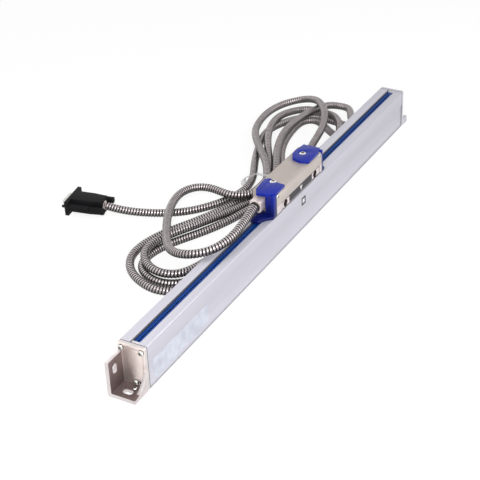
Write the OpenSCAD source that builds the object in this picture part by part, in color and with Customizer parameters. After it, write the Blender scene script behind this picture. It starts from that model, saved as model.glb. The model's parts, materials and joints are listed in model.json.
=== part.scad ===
// Enclosed linear glass scale: an extruded housing with a glass scale inside, a reading
// head that slides along its slot, and an armoured lead with a nine-way plug.
// Millimetres. X runs along the scale, -Y is the front, +Z is up. The origin is at the
// middle of the housing's underside. "Near" is the -X end, where the lead leaves the head.

/* [Housing] */
// Distance between the outer faces of the two end plates
unit_len = 546.5; // [420:0.5:1600]
// Depth of the housing, front to back
body_w = 27; // [26:0.1:32]
// Height of the housing
body_h = 43.4; // [42:0.1:52]
// Thickness of the side and bottom walls
wall = 3; // [2.6:0.1:3.4]
// Thickness of the top wall
top_wall = 3.4; // [3:0.1:3.6]
// Width of the slot in the top wall
slot_w = 7.2; // [6.8:0.1:8]
// Sideways place of the slot's middle
slot_y = -1.3; // [-2:0.1:-0.8]
// Depth of the sunk label field on the front
field_depth = 0.4; // [0.2:0.1:0.8]
// Height of the top edge of the label field
field_top = 27; // [20:0.5:30]

/* [Seal] */
// Depth of the lip seals below the top face
lip_drop = 1.8; // [1.2:0.1:2.1]
// Thickness of a lip at its root
lip_t = 1.4; // [1:0.1:1.6]
// Running clearance on each side of the blade
lip_clear = 0.15; // [0.1:0.05:0.4]
// Length of the plug that closes each end of the slot
slot_plug_len = 3; // [2:0.5:6]

/* [Glass scale] */
// Height of the glass strip
glass_h = 20; // [18:0.5:20.5]
// Thickness of the glass strip
glass_t = 3; // [2.5:0.1:3.4]
// Sideways place of the glass strip's middle
glass_y = 3; // [2.8:0.1:3.2]
// Thickness of the elastic bond around the foot of the glass
bond_t = 0.5; // [0.3:0.1:0.7]
// Height of the two ribs that hold the bond
rib_h = 4.5; // [3:0.5:6]

/* [End caps] */
// Thickness of an end plate
plate_t = 3.5; // [2.5:0.1:5]
// Thickness of the gasket behind an end plate
gasket_t = 0.75; // [0.5:0.05:1.5]
// Reach of the near mounting walls beyond the end plate
lug_len = 20; // [18:0.5:30]
// Reach of the far mounting walls beyond the end plate
far_lug_len = 12; // [11.5:0.5:16]
// Height of the upright mounting wall
lug_h = 35; // [30:0.5:38]
// Thickness of the mounting walls
lug_t = 3.6; // [3:0.1:4.5]
// Width of a mounting slot
lug_slot_w = 6; // [4.5:0.1:6.5]
// End-to-end length of a mounting slot
lug_slot_len = 9.5; // [8:0.5:12]
// Distance of the near mounting slots from the end plate
lug_slot_x = 11.5; // [11:0.5:12]
// Distance of the far mounting slots from the end plate
far_slot_x = 7.3; // [7.2:0.1:7.6]
// Height of the upright slot's middle
lug_slot_z = 24.3; // [20:0.1:26]
// Radius of the hollow curve at the front of the near mounting walls
lug_curve_r = 20; // [16:0.5:20]
// Height of the plain rib at the front of the far mounting walls
far_rib_h = 7.4; // [5:0.1:12]

/* [Reading head] */
// Length of the head's block
head_len = 97; // [94:0.5:110]
// Place of the block's middle along the scale, at rest
head_x = 12.5; // [-100:0.5:100]
// Depth of the block, front to back
head_w = 26; // [25.4:0.1:27]
// Height of the block
head_h = 22.4; // [21.5:0.1:26]
// Gap between the housing and the block
head_gap = 1; // [0.8:0.1:1.5]
// Distance between the two mounting holes of the block
hole_pitch = 64; // [62:0.5:66]
// Offset of the mounting holes from the block's middle
hole_shift = 2.5; // [-3:0.5:3]
// Radius of the mounting holes
hole_r = 2.2; // [2.1:0.1:2.8]
// Radius of the sunk seats for the mounting screws
seat_r = 3.8; // [3.6:0.1:4.3]
// Radius of the block's front top edge
head_round = 4; // [2:0.5:5]
// Thickness of the base plate under the block
base_t = 1.2; // [1:0.1:1.3]

/* [Blade and carriage] */
// Thickness of the blade that reaches through the slot
blade_t = 1; // [0.8:0.1:1.2]
// Length of the blade
blade_len = 50; // [40:1:52]
// Length of the scanning carriage
carriage_len = 60; // [58:1:70]
// Radius of the rollers on the glass edge
edge_roller_r = 4; // [3.5:0.1:4.2]
// Radius of the rollers on the glass face
face_roller_r = 3.5; // [3:0.1:3.5]
// Width of a roller
roller_w = 2.4; // [2:0.1:2.6]
// Radius of a roller pin
pin_r = 1; // [0.8:0.05:1.2]
// Radial clearance of a roller on its pin
pin_clear = 0.03; // [0.02:0.01:0.08]
// Clearance between a roller and the glass
roll_clear = 0.05; // [0.03:0.01:0.1]

/* [Transport brackets] */
// Thickness of a bracket's top plate
bracket_t = 3; // [2.5:0.1:4]
// Clearance between a bracket's foot and the housing
foot_clear = 0.3; // [0.3:0.1:0.6]
// Thickness of a bracket's foot
foot_t = 3; // [2:0.1:3.5]
// Reach of the near bracket's top plate beyond the block
near_over = 9; // [4:0.5:9]
// Reach of the near bracket's foot beyond the block
near_foot = 21; // [14:0.5:24]
// Reach of the far bracket's foot beyond the block
far_foot = 9; // [6:0.5:14]

/* [Gland and lead] */
// Diameter of the armoured lead
lead_d = 8.5; // [8:0.1:8.6]
// Width across the square gland
gland_w = 12; // [11:0.1:12]
// Length of the square gland
gland_len = 12; // [10:0.5:12]
// Distance of the lead from the head's back face, where it leaves the head
gland_in = 8.7; // [8.2:0.1:10]
// Height of the lead's middle above the housing's top face
gland_up = 13.1; // [12.8:0.1:13.5]

/* [Plug] */
// Width of the plug's flange
flange_w = 34.5; // [33:0.1:36]
// Height of the plug's hood
hood_h = 15.5; // [15:0.1:17]
// Length of the hood, without the thumbscrew heads
hood_len = 38; // [34:0.5:38]
// Thickness of the flange
flange_t = 4; // [3:0.1:5]
// Distance between the two thumbscrews
jack_pitch = 25; // [25:0.1:26]
// Radius of a thumbscrew's head
knob_r = 3.4; // [3:0.1:3.6]
// Length of a thumbscrew's head
knob_len = 16; // [12:0.5:17]

/* [Hidden] */

$fn = 48;
eps = 0.01;
part_clear = 0.05;
part_gap = 0.3;

// Housing
housing_len = unit_len - 2 * (plate_t + gasket_t);
front_y = -body_w / 2;
back_y = body_w / 2;
slot_len = housing_len - 2 * slot_plug_len;
corner_chamfer = 0.7;
screw_r = 1.25;
screw_hole_r = 1.6;
top_screw_y = body_w / 2 - 3.4;
top_screw_z = body_h - 4.7;
corner_block = 3.6;
low_screw_y = -3;
low_screw_z = wall + 4.2;
boss_r = 3.2;
end_screw_points = [[-top_screw_y, top_screw_z], [top_screw_y, top_screw_z], [low_screw_y, low_screw_z]];

// Seal lips
lip_z = body_h - lip_drop - lip_t;
lip_anchor = 1.6;
flange_y = slot_w / 2 + lip_anchor + 1.6;
flange_z = lip_z - 1.2;
lip_rise = 1;
lip_edge_t = 0.7;

// Glass and its groove
glass_z = wall + bond_t;
glass_top = glass_z + glass_h;
glass_front = glass_y - glass_t / 2;
glass_back = glass_y + glass_t / 2;
rib_t = 1.5;
glass_end_gap = 4;

// End caps
plate_x = unit_len / 2;
gusset_t = 3.2;
pad_t = 1.2;
pad_len = 13;
pad_w = 7;
gasket_inset = 0.1;
lug_round = 2;
air_y = -8.2;
air_r = 2;
ground_x = 5.6;
ground_y = -4.6;
ground_r = 1.5;
low_slot_y = slot_y;

// Head block
head_z = body_h + head_gap;
head_top = head_z + head_h;
head_near = head_x - head_len / 2;
head_far = head_x + head_len / 2;
head_back = front_y + head_w;
hole_x = head_x + hole_shift;
seat_floor = 0.4;
hole_z = head_z + seat_r + seat_floor;
seat_depth = 6;
head_wall = 5;
side_wall = 3;
roof = 3;
strip_depth = 0.8;
strip_h = 9.4;
strip_reach = hole_pitch / 2 + 9.5;
base_margin = 1.5;
base_notch = seat_r + 1.8;
corner_inset = 4;
port_points = [head_near + 3.2, head_far - 3.6];
port_z = head_top - 3.2;
port_r = 2.3;
port_seat = 1.2;
port_depth = 2.5;
blade_screw_x = 14;
blade_screw_y = 4;
foot_half = 20;
foot_depth = 7;
foot_plate_t = 1.5;
tab_near = 12;
tab_len = 5;
cap_r = 2.4;
cap_depth = 1.6;
post_r = 1.3;
thread_r = 1.65;
thread_depth = 9;
board_z = head_top - roof - 5.8;

// Transport brackets and their screws, sunk in the plates
bracket_screw_y = 0.6;
bracket_hole_r = 2.3;
bracket_seat_r = 4;
bracket_web = 1;
bracket_front = front_y + 0.2;
plate_back = 9.8;
plate_in = 3;
far_over = 2.6;
leg_t = 3.2;

// Carriage, measured from the blade's middle
bridge_z = glass_top + 1.6;
bridge_t = 5.4;
carriage_top = bridge_z + bridge_t;
leg_z = low_screw_z + boss_r + 0.4;
leg_out = body_w / 2 - wall - 1.1;
front_leg_in = -6;
back_leg_in = glass_back + 0.7;
edge_roller_x = 16;
edge_roller_z = glass_top + edge_roller_r + roll_clear;
face_roller_x = 24;
face_roller_y = glass_front - face_roller_r - roll_clear;
face_roller_z = glass_top - 3;
arm_t = 1;
arm_w = 6;
roller_gap = 0.3;
low_roller_z = leg_z + arm_t + roller_gap + roller_w / 2;
pin_half = roller_w / 2 + roller_gap + arm_t;
scan_z = glass_top - 3.1;
scan_half = 4;
wire_reach = 15;
grating_gap = 0.3;
grating_t = 0.9;
diode_t = 1;
board_t = 1;
lens_r = 3.5;
wire_r = 0.6;
wire_z = carriage_top + 2.2;

// Gland
gland_y = head_back - gland_in;
gland_z = body_h + gland_up;
spigot_r = 3.2;
bore_r = 2.4;
collar_len = 1.2;

// Plug: its flange's front face stands at plug_at and its mating side looks along +Y,
// turned by plug_yaw
plug_at = [-45, 225, 0];
plug_yaw = 10;
jack_z = hood_h / 2;
fairing_r = 3.9;
fairing_len = 26;
hood_w = 17.6;
hood_screws = [-14, -25];
hood_sink = 1.2;
shell_depth = 6;
shell_t = 0.5;
pin_pitch = 2.77;
row_pitch = 2.84;

// The lead's route, from the gland to the plug
lead_r = lead_d / 2;
gland_face = head_near - gland_len - collar_len;
route = [
    [gland_face, gland_y, gland_z], [-76, 1, 55], [-104, 0, 52.5], [-127, 10, 49],
    [-136, 32, 45], [-121, 57, 36], [-93, 77, 28], [-55, 101, 21], [-20, 117, 17], [8, 123, 15],
    [29, 115, 13], [32, 96, 13], [27, 76, 13], [36, 58, 13.2], [58, 52, 13.5], [84, 62, 13.2],
    [112, 79, 12.8], [140, 103, 12.8], [168, 122, 10], [198, 135, 4.3], [232, 140, 4.3],
    [262, 132, 4.3], [275, 115, 7], [264, 97, 15.5], [245, 78, 24], [226, 62, 21.5],
    [200, 53, 15.5], [166, 49, 12.8], [128, 41.5, 8], [90, 36.4, 4.3], [-50, 36.4, 4.3],
    [-92, 36.8, 10.5], [-121, 43, 12.8], [-130, 62, 12.8], [-122, 83, 12.8], [-102, 98, 12.8],
    [-76, 96, 12.8], [-46, 81, 12.8], [-12, 69, 9.5], [30, 58.5, 4.5], [80, 53.7, 4.3],
    [112, 66, 12.2], [140, 79, 12.9], [174, 90, 12.8], [208, 92, 12.8], [238, 86, 13.5],
    [257, 77, 14], [275, 72, 7.5], [280, 58, 4.6], [262, 47, 8.5], [240, 36, 12.8],
    [220, 26, 12.8], [198, 21.3, 12], [174, 19.9, 5], [60, 19.4, 4.3], [-90, 19.5, 4.3],
    [-127, 28, 4.3], [-145, 50, 4.3], [-142, 74, 4.3], [-129, 97, 4.3], [-107, 112, 4.3],
    [-80, 113, 4.3], [-50, 104, 4.3], [-12, 84, 4.3], [36, 67.5, 4.3], [80, 62.3, 4.3],
    [112, 73, 5], [140, 91, 10.3], [172, 107, 12.8], [206, 115.5, 12.6], [240, 115, 6],
    [258, 102, 4.3], [258, 86, 4.3], [252, 71, 7], [238, 55, 12.8], [222, 42, 12.8],
    [200, 33, 12], [176, 28.7, 5.5], [60, 27.95, 4.3], [-80, 27.95, 4.3], [-115, 35, 4.3],
    [-132, 53, 4.3], [-131, 74, 4.3], [-119, 92, 4.3], [-96, 98, 4.3], [-66, 89, 4.3],
    [-30, 68, 4.3], [20, 51, 4.3], [80, 45, 4.3], [112, 58.5, 4.3], [146, 78, 4.3],
    [180, 89, 4.3], [210, 92.5, 4.3], [228, 91, 4.3], [236, 79, 4.3], [226, 63, 4.3],
    [211, 45, 4.3], [209, 28, 4.3], [222, 18.8, 4.3], [236, 27, 4.3], [239, 46, 4.3],
    [243, 68, 4.3], [244, 89, 4.3], [220, 108, 4.3], [190, 118, 4.3], [160, 111, 4.3],
    [134, 102, 4.3], [106, 90, 4.3], [78, 77, 4.3], [48, 75.5, 4.3], [16, 88, 4.3],
    [-12, 111, 4.3], [-28, 143, 4.3], [-35.5, 168, 5.5], [-38.4, 187.4, 7.75]
];
tie_x = 72;
tie_w = 4;
tie_t = 0.8;
tie_low = 42.3;
tie_high = 82.4;
tie_top = 17.6;
tie_side = 9.1;
tie_crown = [54.5, 67.8];

// ---- Shared shapes ----

// Lays an outline drawn in Y and Z along X
module along_x(length) {
    rotate([90, 0, 90]) linear_extrude(length, center = true) children();
}

// Lays an outline drawn in X and Z along Y, from y0 towards +Y
module along_y(y0, length) {
    translate([0, y0 + length, 0]) rotate([90, 0, 0]) linear_extrude(length) children();
}

// A round bar along X from x0 towards +X
module bar_x(x0, y, z, length, r) {
    translate([x0, y, z]) rotate([0, 90, 0]) cylinder(length, r, r);
}

// A round bar along Y from y0 towards +Y
module bar_y(x, y0, z, length, r) {
    translate([x, y0, z]) rotate([-90, 0, 0]) cylinder(length, r, r);
}

// A slot outline centred on the origin, long side along X
module slot_outline(length, width) {
    square([length - width, width], center = true);
    for (s = [-1, 1]) translate([s * (length - width) / 2, 0]) circle(width / 2);
}

// A block from one corner to another
module block(low, high) {
    translate(low) cube(high - low);
}

// Mirrors the near end to the far end
module at_end(side) {
    if (side < 0) children();
    else mirror([1, 0, 0]) children();
}

// Machine screw along -Z with its head's underside at the origin
module pan_screw(r, length, head_r, head_t) {
    difference() {
        union() {
            cylinder(head_t, head_r, head_r * 0.86);
            translate([0, 0, -length]) cylinder(length + eps, r, r);
        }
        for (a = [0, 90])
            rotate([0, 0, a])
                translate([0, 0, head_t])
                    cube([head_r * 1.2, head_r * 0.26, head_t], center = true);
    }
}

// ---- Scale unit ----

module body_outline(inset = 0) {
    w = body_w / 2 - inset;
    low = inset;
    high = body_h - inset;
    c = corner_chamfer;
    polygon([
        [-w + c, low], [w - c, low], [w, low + c], [w, high - c],
        [w - c, high], [-w + c, high], [-w, high - c], [-w, low + c]
    ]);
}

module cavity_outline() {
    half = body_w / 2 - wall;
    difference() {
        translate([-half, wall]) square([2 * half, body_h - wall - top_wall]);
        for (s = [-1, 1])
            translate([s * body_w / 2, body_h])
                square(2 * [body_w / 2 - top_screw_y + corner_block, body_h - top_screw_z + corner_block],
                    center = true);
        translate([slot_y - flange_y, flange_z]) square([2 * flange_y, body_h]);
        translate([low_screw_y, low_screw_z]) circle(boss_r);
        translate([low_screw_y - boss_r, 0]) square([2 * boss_r, low_screw_z]);
        translate([glass_y - glass_t / 2 - bond_t - rib_t, 0])
            square([glass_t + 2 * (bond_t + rib_t), wall + rib_h]);
    }
}

module housing() {
    color("gainsboro")
        along_x(housing_len)
            difference() {
                body_outline();
                cavity_outline();
                // slot for the blade, and the lips' grooves on its two sides
                translate([slot_y - slot_w / 2, flange_z - 1]) square([slot_w, body_h]);
                translate([slot_y - slot_w / 2 - lip_anchor, lip_z])
                    square([slot_w + 2 * lip_anchor, lip_t]);
                // groove for the glass
                translate([glass_y - glass_t / 2 - bond_t, wall])
                    square([glass_t + 2 * bond_t, rib_h + eps]);
                for (p = end_screw_points) translate(p) circle(screw_r);
                // label field on the front, relief channel on the back
                translate([front_y, wall]) square([field_depth, field_top - wall]);
                translate([back_y - field_depth, body_h * 0.3])
                    square([field_depth + eps, body_h * 0.4]);
            }
}

module glass_scale() {
    color("lightcyan")
        translate([0, glass_y, glass_z + glass_h / 2])
            cube([housing_len - 2 * glass_end_gap, glass_t, glass_h], center = true);
}

module glass_bond() {
    color("dimgray")
        along_x(housing_len - 2 * glass_end_gap)
            difference() {
                translate([glass_front - bond_t, wall]) square([glass_t + 2 * bond_t, rib_h]);
                translate([glass_front, glass_z]) square([glass_t, glass_h]);
            }
}

module lip(side) {
    inner = blade_t / 2 + lip_clear;
    root = slot_w / 2;
    color("royalblue")
        along_x(slot_len)
            translate([slot_y, lip_z])
                scale([side, 1])
                    polygon([
                        [root + lip_anchor, 0], [root + lip_anchor, lip_t], [root, lip_t],
                        [inner, lip_rise + lip_edge_t], [inner, lip_rise], [root, 0]
                    ]);
}

module slot_plug(side) {
    color("white")
        at_end(side)
            block([-housing_len / 2, slot_y - slot_w / 2, flange_z],
                [-housing_len / 2 + slot_plug_len, slot_y + slot_w / 2, body_h]);
}

// An end cap: the plate over the housing's end, and an upright and a flat mounting wall with
// a slot each. A curved gusset stiffens the near walls at the front, a low rib the far ones.
module end_cap(side) {
    x = -plate_x;
    reach = side < 0 ? lug_len : far_lug_len;
    slot_x = side < 0 ? lug_slot_x : far_slot_x;
    color("silver")
        at_end(side)
            difference() {
                union() {
                    translate([x + plate_t / 2, 0, 0]) along_x(plate_t) body_outline();
                    // mounting walls with a rounded outer corner
                    translate([x - reach / 2, 0, 0])
                        along_x(reach)
                            difference() {
                                translate([front_y, 0]) square([body_w, lug_h]);
                                translate([front_y - eps, lug_t])
                                    square([body_w - lug_t + eps, lug_h]);
                                translate([back_y - lug_round, lug_round])
                                    difference() {
                                        translate([0, -lug_round]) square(lug_round);
                                        circle(lug_round);
                                    }
                            }
                    // gusset or rib along the front
                    along_y(front_y, gusset_t)
                        if (side < 0)
                            difference() {
                                translate([x - reach, 0]) square([reach, lug_t + lug_curve_r]);
                                translate([x - reach, lug_t + lug_curve_r]) circle(lug_curve_r, $fn = 96);
                            }
                        else
                            translate([x - reach, 0]) square([reach, far_rib_h]);
                    // raised pad round the lower screw and the air port
                    translate([x - pad_t / 2, 0, 0])
                        along_x(pad_t)
                            translate([(low_screw_y + air_y) / 2, low_screw_z])
                                slot_outline(pad_len, pad_w);
                }
                for (p = end_screw_points) bar_x(x - 2, p[0], p[1], plate_t + 4, screw_hole_r);
                bar_x(x - 2, air_y, low_screw_z, plate_t + 4, air_r);
                translate([x - slot_x, 0, lug_slot_z])
                    rotate([90, 0, 0])
                        linear_extrude(2 * body_w, center = true)
                            rotate(90) slot_outline(lug_slot_len, lug_slot_w);
                translate([x - slot_x, low_slot_y, 0])
                    linear_extrude(4 * lug_t, center = true)
                        rotate(90) slot_outline(lug_slot_len, lug_slot_w);
                if (side < 0)
                    translate([x - ground_x, ground_y, -eps]) cylinder(lug_t + 1, ground_r, ground_r);
            }
}

module gasket(side) {
    color("dimgray")
        at_end(side)
            translate([-housing_len / 2 - gasket_t / 2, 0, 0])
                along_x(gasket_t)
                    difference() {
                        body_outline(gasket_inset);
                        translate([-body_w / 2 + wall + 4, wall + 12])
                            square([body_w - 2 * wall - 8, body_h - wall - 12 - 2 * top_wall - 6]);
                        for (p = end_screw_points) translate(p) circle(screw_hole_r);
                    }
}

module end_screws(side) {
    color("gainsboro")
        at_end(side)
            for (p = end_screw_points)
                translate([-plate_x - (p[1] < body_h / 2 ? pad_t : 0), p[0], p[1]])
                    rotate([0, -90, 0])
                        pan_screw(screw_r - part_clear, 12, 2.7, 1.9);
}

module air_plugs() {
    color("dimgray")
        for (side = [-1, 1])
            at_end(side)
                difference() {
                    bar_x(-plate_x - 0.8, air_y, low_screw_z, plate_t, air_r - part_clear);
                    translate([-plate_x - 1, air_y, low_screw_z])
                        rotate([0, 90, 0]) cylinder(2, 1.15, 1.15, $fn = 6);
                }
}

module ground_screw() {
    color("goldenrod")
        translate([-plate_x - ground_x, ground_y, lug_t])
            pan_screw(ground_r - part_clear, lug_t - 0.2, 2.3, 1.6);
}

// ---- Reading head ----

module head_outline() {
    r = head_round;
    difference() {
        translate([front_y, head_z]) square([head_w, head_h]);
        translate([front_y + r, head_top - r])
            difference() {
                translate([-r, 0]) square(r);
                circle(r, $fn = 96);
            }
    }
}

// The base plate's outline, notched clear of the mounting screws' seats
module base_outline(grow = 0) {
    half = head_len / 2 - base_margin + grow;
    difference() {
        translate([head_x - half, front_y + 2 - grow])
            square([2 * half, head_w - 3.5 + 2 * grow]);
        for (s = [-1, 1])
            translate([hole_x + s * hole_pitch / 2, front_y])
                square([2 * (base_notch - grow), 2 * (seat_depth + 1.5 - grow)], center = true);
    }
}

module corner_points() {
    for (x = [head_near + corner_inset, head_far - corner_inset],
         y = [front_y + corner_inset, head_back - corner_inset])
        translate([x, y, 0]) children();
}

module head_block() {
    inner_y = front_y + head_wall;
    inner_back = head_back - side_wall;
    color("tan")
        difference() {
            union() {
                difference() {
                    translate([head_x, 0, 0]) along_x(head_len) head_outline();
                    block([head_near + 6, inner_y, head_z - 1], [head_far - 6, inner_back, head_top - roof]);
                }
                // bosses round the mounting holes and under the bracket screws
                for (s = [-1, 1]) {
                    x = hole_x + s * hole_pitch / 2;
                    intersection() {
                        bar_y(x, inner_y - 1, hole_z, inner_back - inner_y + 2, seat_r + 1.3);
                        block([x - 10, inner_y - 1, head_z + base_t + 0.5],
                            [x + 10, inner_back + 1, head_top]);
                    }
                    translate([x, bracket_screw_y, hole_z]) cylinder(head_top - roof - hole_z + 1, 4, 4);
                }
            }
            for (s = [-1, 1]) {
                x = hole_x + s * hole_pitch / 2;
                bar_y(x, front_y - 1, hole_z, head_w + 2, hole_r);
                bar_y(x, front_y - 1, hole_z, seat_depth + 1, seat_r);
                translate([x, bracket_screw_y, head_top - thread_depth])
                    cylinder(thread_depth + 1, thread_r, thread_r);
            }
            // recess for the base plate, and the band along the front
            translate([0, 0, head_z - 1]) linear_extrude(base_t + 1) base_outline(part_clear);
            block([hole_x - strip_reach, front_y - 1, head_z - 1],
                [hole_x + strip_reach, front_y + strip_depth, head_z + strip_h]);
            corner_points() {
                cylinder(head_top + 1, post_r, post_r);
                translate([0, 0, head_top - cap_depth]) cylinder(cap_depth + 1, cap_r, cap_r);
            }
            // spot-faced ports at the front, closed by two short screws
            for (x = port_points) {
                bar_y(x, front_y - 1, port_z, port_seat + 1, port_r);
                bar_y(x, front_y - 1, port_z, port_depth + 1, post_r);
            }
            // hole for the gland's spigot
            bar_x(head_near - 1, gland_y, gland_z, 8, spigot_r + part_clear);
        }
}

module base_plate() {
    color("lightsteelblue")
        difference() {
            translate([0, 0, head_z]) linear_extrude(base_t) base_outline();
            translate([hole_x, slot_y, head_z])
                cube([blade_len + 1, blade_t + 2 * part_clear, 4 * base_t], center = true);
            corner_points() translate([0, 0, head_z - 1]) cylinder(base_t + 2, post_r - 0.2, post_r - 0.2);
            for (s = [-1, 1])
                translate([hole_x + s * blade_screw_x, slot_y + blade_screw_y, head_z - 1])
                    cylinder(base_t + 2, 1, 1);
        }
}

module corner_screws() {
    color("gainsboro") {
        corner_points()
            translate([0, 0, head_top - cap_depth])
                pan_screw(post_r - 0.25, head_top - cap_depth - head_z, cap_r - 0.1, 1.4);
        for (x = port_points)
            translate([x, front_y + port_seat, port_z])
                rotate([90, 0, 0])
                    pan_screw(post_r - part_clear, port_depth - port_seat - part_clear, port_r - 0.1, 1.1);
    }
}

// The blade: a thin steel web with pointed ends, a foot on the base plate and a tab below
module blade() {
    half = blade_len / 2;
    t = blade_t / 2;
    web_low = carriage_top + 4;
    color("silver")
        union() {
            translate([hole_x, slot_y, web_low])
                linear_extrude(head_z + base_t - web_low + foot_plate_t)
                    polygon([
                        [-half, 0], [-half + 6, -t], [half - 6, -t],
                        [half, 0], [half - 6, t], [-half + 6, t]
                    ]);
            difference() {
                block([hole_x - foot_half, slot_y, head_z + base_t],
                    [hole_x + foot_half, slot_y + foot_depth, head_z + base_t + foot_plate_t]);
                for (s = [-1, 1])
                    translate([hole_x + s * blade_screw_x, slot_y + blade_screw_y, head_z])
                        cylinder(6, 1.1, 1.1);
            }
            block([hole_x + tab_near, slot_y - t, wire_z - 1.4],
                [hole_x + tab_near + tab_len, slot_y + t, web_low + 1]);
        }
}

module blade_screws() {
    color("gainsboro")
        for (s = [-1, 1])
            translate([hole_x + s * blade_screw_x, slot_y + blade_screw_y, head_z + base_t + foot_plate_t])
                pan_screw(1 - part_clear, base_t + foot_plate_t, 1.9, 1.2);
}

// The spring wire that draws the carriage along without forcing it off the glass
module coupling_wire() {
    color("silver") {
        bar_x(hole_x - wire_reach, slot_y, wire_z, wire_reach + tab_near, wire_r);
        translate([hole_x - wire_reach, slot_y, wire_z]) sphere(1.2, $fn = 24);
    }
}

module carriage() {
    half = carriage_len / 2;
    color("darkslategray")
        translate([hole_x, 0, 0])
            difference() {
                union() {
                    block([-half, -leg_out, bridge_z], [half, leg_out, carriage_top]);
                    block([-half, -leg_out, leg_z], [half, front_leg_in, bridge_z + 1]);
                    block([-half, back_leg_in, leg_z], [half, leg_out, bridge_z + 1]);
                    // seat of the photocell board
                    block([-9, front_leg_in - 1, scan_z - scan_half],
                        [9, glass_front - grating_gap - grating_t - diode_t - board_t, bridge_z + 1]);
                    // arms that hold the pins of the face rollers
                    for (s = [-1, 1]) roller_arms(s * face_roller_x, face_roller_z);
                    roller_arms(0, low_roller_z);
                    // post for the coupling wire
                    translate([-wire_reach, slot_y, carriage_top - 1]) cylinder(2, 1.8, 1.8);
                }
                // wells and pin holes of the edge rollers
                for (s = [-1, 1]) {
                    block([s * edge_roller_x - edge_roller_r - roller_gap,
                        glass_y - roller_w / 2 - roller_gap, 0],
                        [s * edge_roller_x + edge_roller_r + roller_gap, glass_y + roller_w / 2 + roller_gap,
                        carriage_top + 1]);
                    bar_y(s * edge_roller_x, glass_y - 4, edge_roller_z, 8, pin_r);
                }
                for (x = [-face_roller_x, face_roller_x])
                    translate([x, face_roller_y, face_roller_z - 4]) cylinder(8, pin_r, pin_r);
                translate([0, face_roller_y, low_roller_z - 4]) cylinder(8, pin_r, pin_r);
                // bore for the lamp and its lens
                bar_y(0, back_leg_in - 1, scan_z, leg_out - back_leg_in + 2, lens_r);
                translate([-wire_reach, slot_y, wire_z]) sphere(1.2, $fn = 24);
            }
}

module roller_arms(x, z) {
    reach = roller_w / 2 + roller_gap;
    for (s = [-1, 1])
        translate([x - arm_w / 2, front_leg_in - 1, z + s * (reach + arm_t / 2) - arm_t / 2])
            cube([arm_w, face_roller_y - front_leg_in + 3, arm_t]);
}

module roller_pins() {
    r = pin_r;
    color("silver")
        translate([hole_x, 0, 0]) {
            for (s = [-1, 1]) {
                bar_y(s * edge_roller_x, glass_y - 4, edge_roller_z, 8, r);
                translate([s * face_roller_x, face_roller_y, face_roller_z - pin_half])
                    cylinder(2 * pin_half, r, r);
            }
            translate([0, face_roller_y, low_roller_z - pin_half]) cylinder(2 * pin_half, r, r);
        }
}

// A ball-race roller with a shallow groove between its rings on both faces
module roller(r) {
    h = roller_w / 2;
    rotate_extrude($fn = 64)
        polygon([
            [pin_r + pin_clear, -h], [r * 0.55, -h], [r * 0.55, -h + 0.25], [r * 0.78, -h + 0.25],
            [r * 0.78, -h], [r - 0.2, -h], [r, -h + 0.2], [r, h - 0.2], [r - 0.2, h],
            [r * 0.78, h], [r * 0.78, h - 0.25], [r * 0.55, h - 0.25], [r * 0.55, h],
            [pin_r + pin_clear, h]
        ]);
}

module roller_edge(side) {
    color("silver")
        translate([hole_x + side * edge_roller_x, glass_y, edge_roller_z])
            rotate([90, 0, 0]) roller(edge_roller_r);
}

module roller_face(x, z) {
    color("silver") translate([hole_x + x, face_roller_y, z]) roller(face_roller_r);
}

module lamp() {
    color("ivory")
        bar_y(hole_x, back_leg_in + 2, scan_z, leg_out - back_leg_in - 2, lens_r);
}

module lens() {
    color("lightcyan")
        translate([hole_x, back_leg_in, scan_z])
            rotate([-90, 0, 0])
                rotate_extrude()
                    intersection() {
                        square([lens_r, 2]);
                        translate([0, 8]) circle(8, $fn = 96);
                    }
}

module index_grating() {
    color("lightcyan")
        block([hole_x - 8, glass_front - grating_gap - grating_t, scan_z - scan_half],
            [hole_x + 8, glass_front - grating_gap, scan_z + scan_half]);
}

module photocell_board() {
    y = glass_front - grating_gap - grating_t;
    color("seagreen") {
        block([hole_x - 10, y - diode_t - board_t, scan_z - scan_half],
            [hole_x + 10, y - diode_t, scan_z + scan_half]);
        for (i = [-1, 1], j = [-1, 1])
            block([hole_x + 3.4 * i - 2.6, y - diode_t - eps, scan_z + 1.9 * j - 1.5],
                [hole_x + 3.4 * i + 2.6, y, scan_z + 1.9 * j + 1.5]);
    }
}

module head_board() {
    color("seagreen") {
        block([hole_x - 24, slot_y - 6, board_z], [hole_x + 24, slot_y + 9, board_z + 1.2]);
        block([hole_x - 6, slot_y - 3, board_z - 1.6], [hole_x + 4, slot_y + 5, board_z + eps]);
        block([hole_x - 20, slot_y - 5, board_z - 3.5], [hole_x - 14, slot_y + 8, board_z + eps]);
    }
}

module board_posts() {
    color("goldenrod")
        for (x = [-20, 20], y = [-4, 7])
            translate([hole_x + x, slot_y + y, board_z + 1.2])
                cylinder(head_top - roof - board_z - 1.2, 1.6, 1.6);
}

module front_strip() {
    color("dimgray")
        block([hole_x - 24, front_y + 0.2, head_z + 0.4],
            [hole_x + 24, front_y + strip_depth, head_z + strip_h - 0.8]);
}

module index_mark() {
    w = 2.6;
    color("white")
        along_y(front_y, 0.2)
            translate([hole_x, head_z + strip_h - 2])
                polygon([[-w, 0], [w, 0], [0, -5.2]]);
}

// ---- Transport brackets ----

// The hole for a bracket's screw, with a wide seat for its head
module bracket_hole(x) {
    translate([x, bracket_screw_y, head_top - 1])
        cylinder(bracket_t + 2, bracket_hole_r, bracket_hole_r);
    translate([x, bracket_screw_y, head_top + bracket_web])
        cylinder(bracket_t, bracket_seat_r, bracket_seat_r);
}

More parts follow.
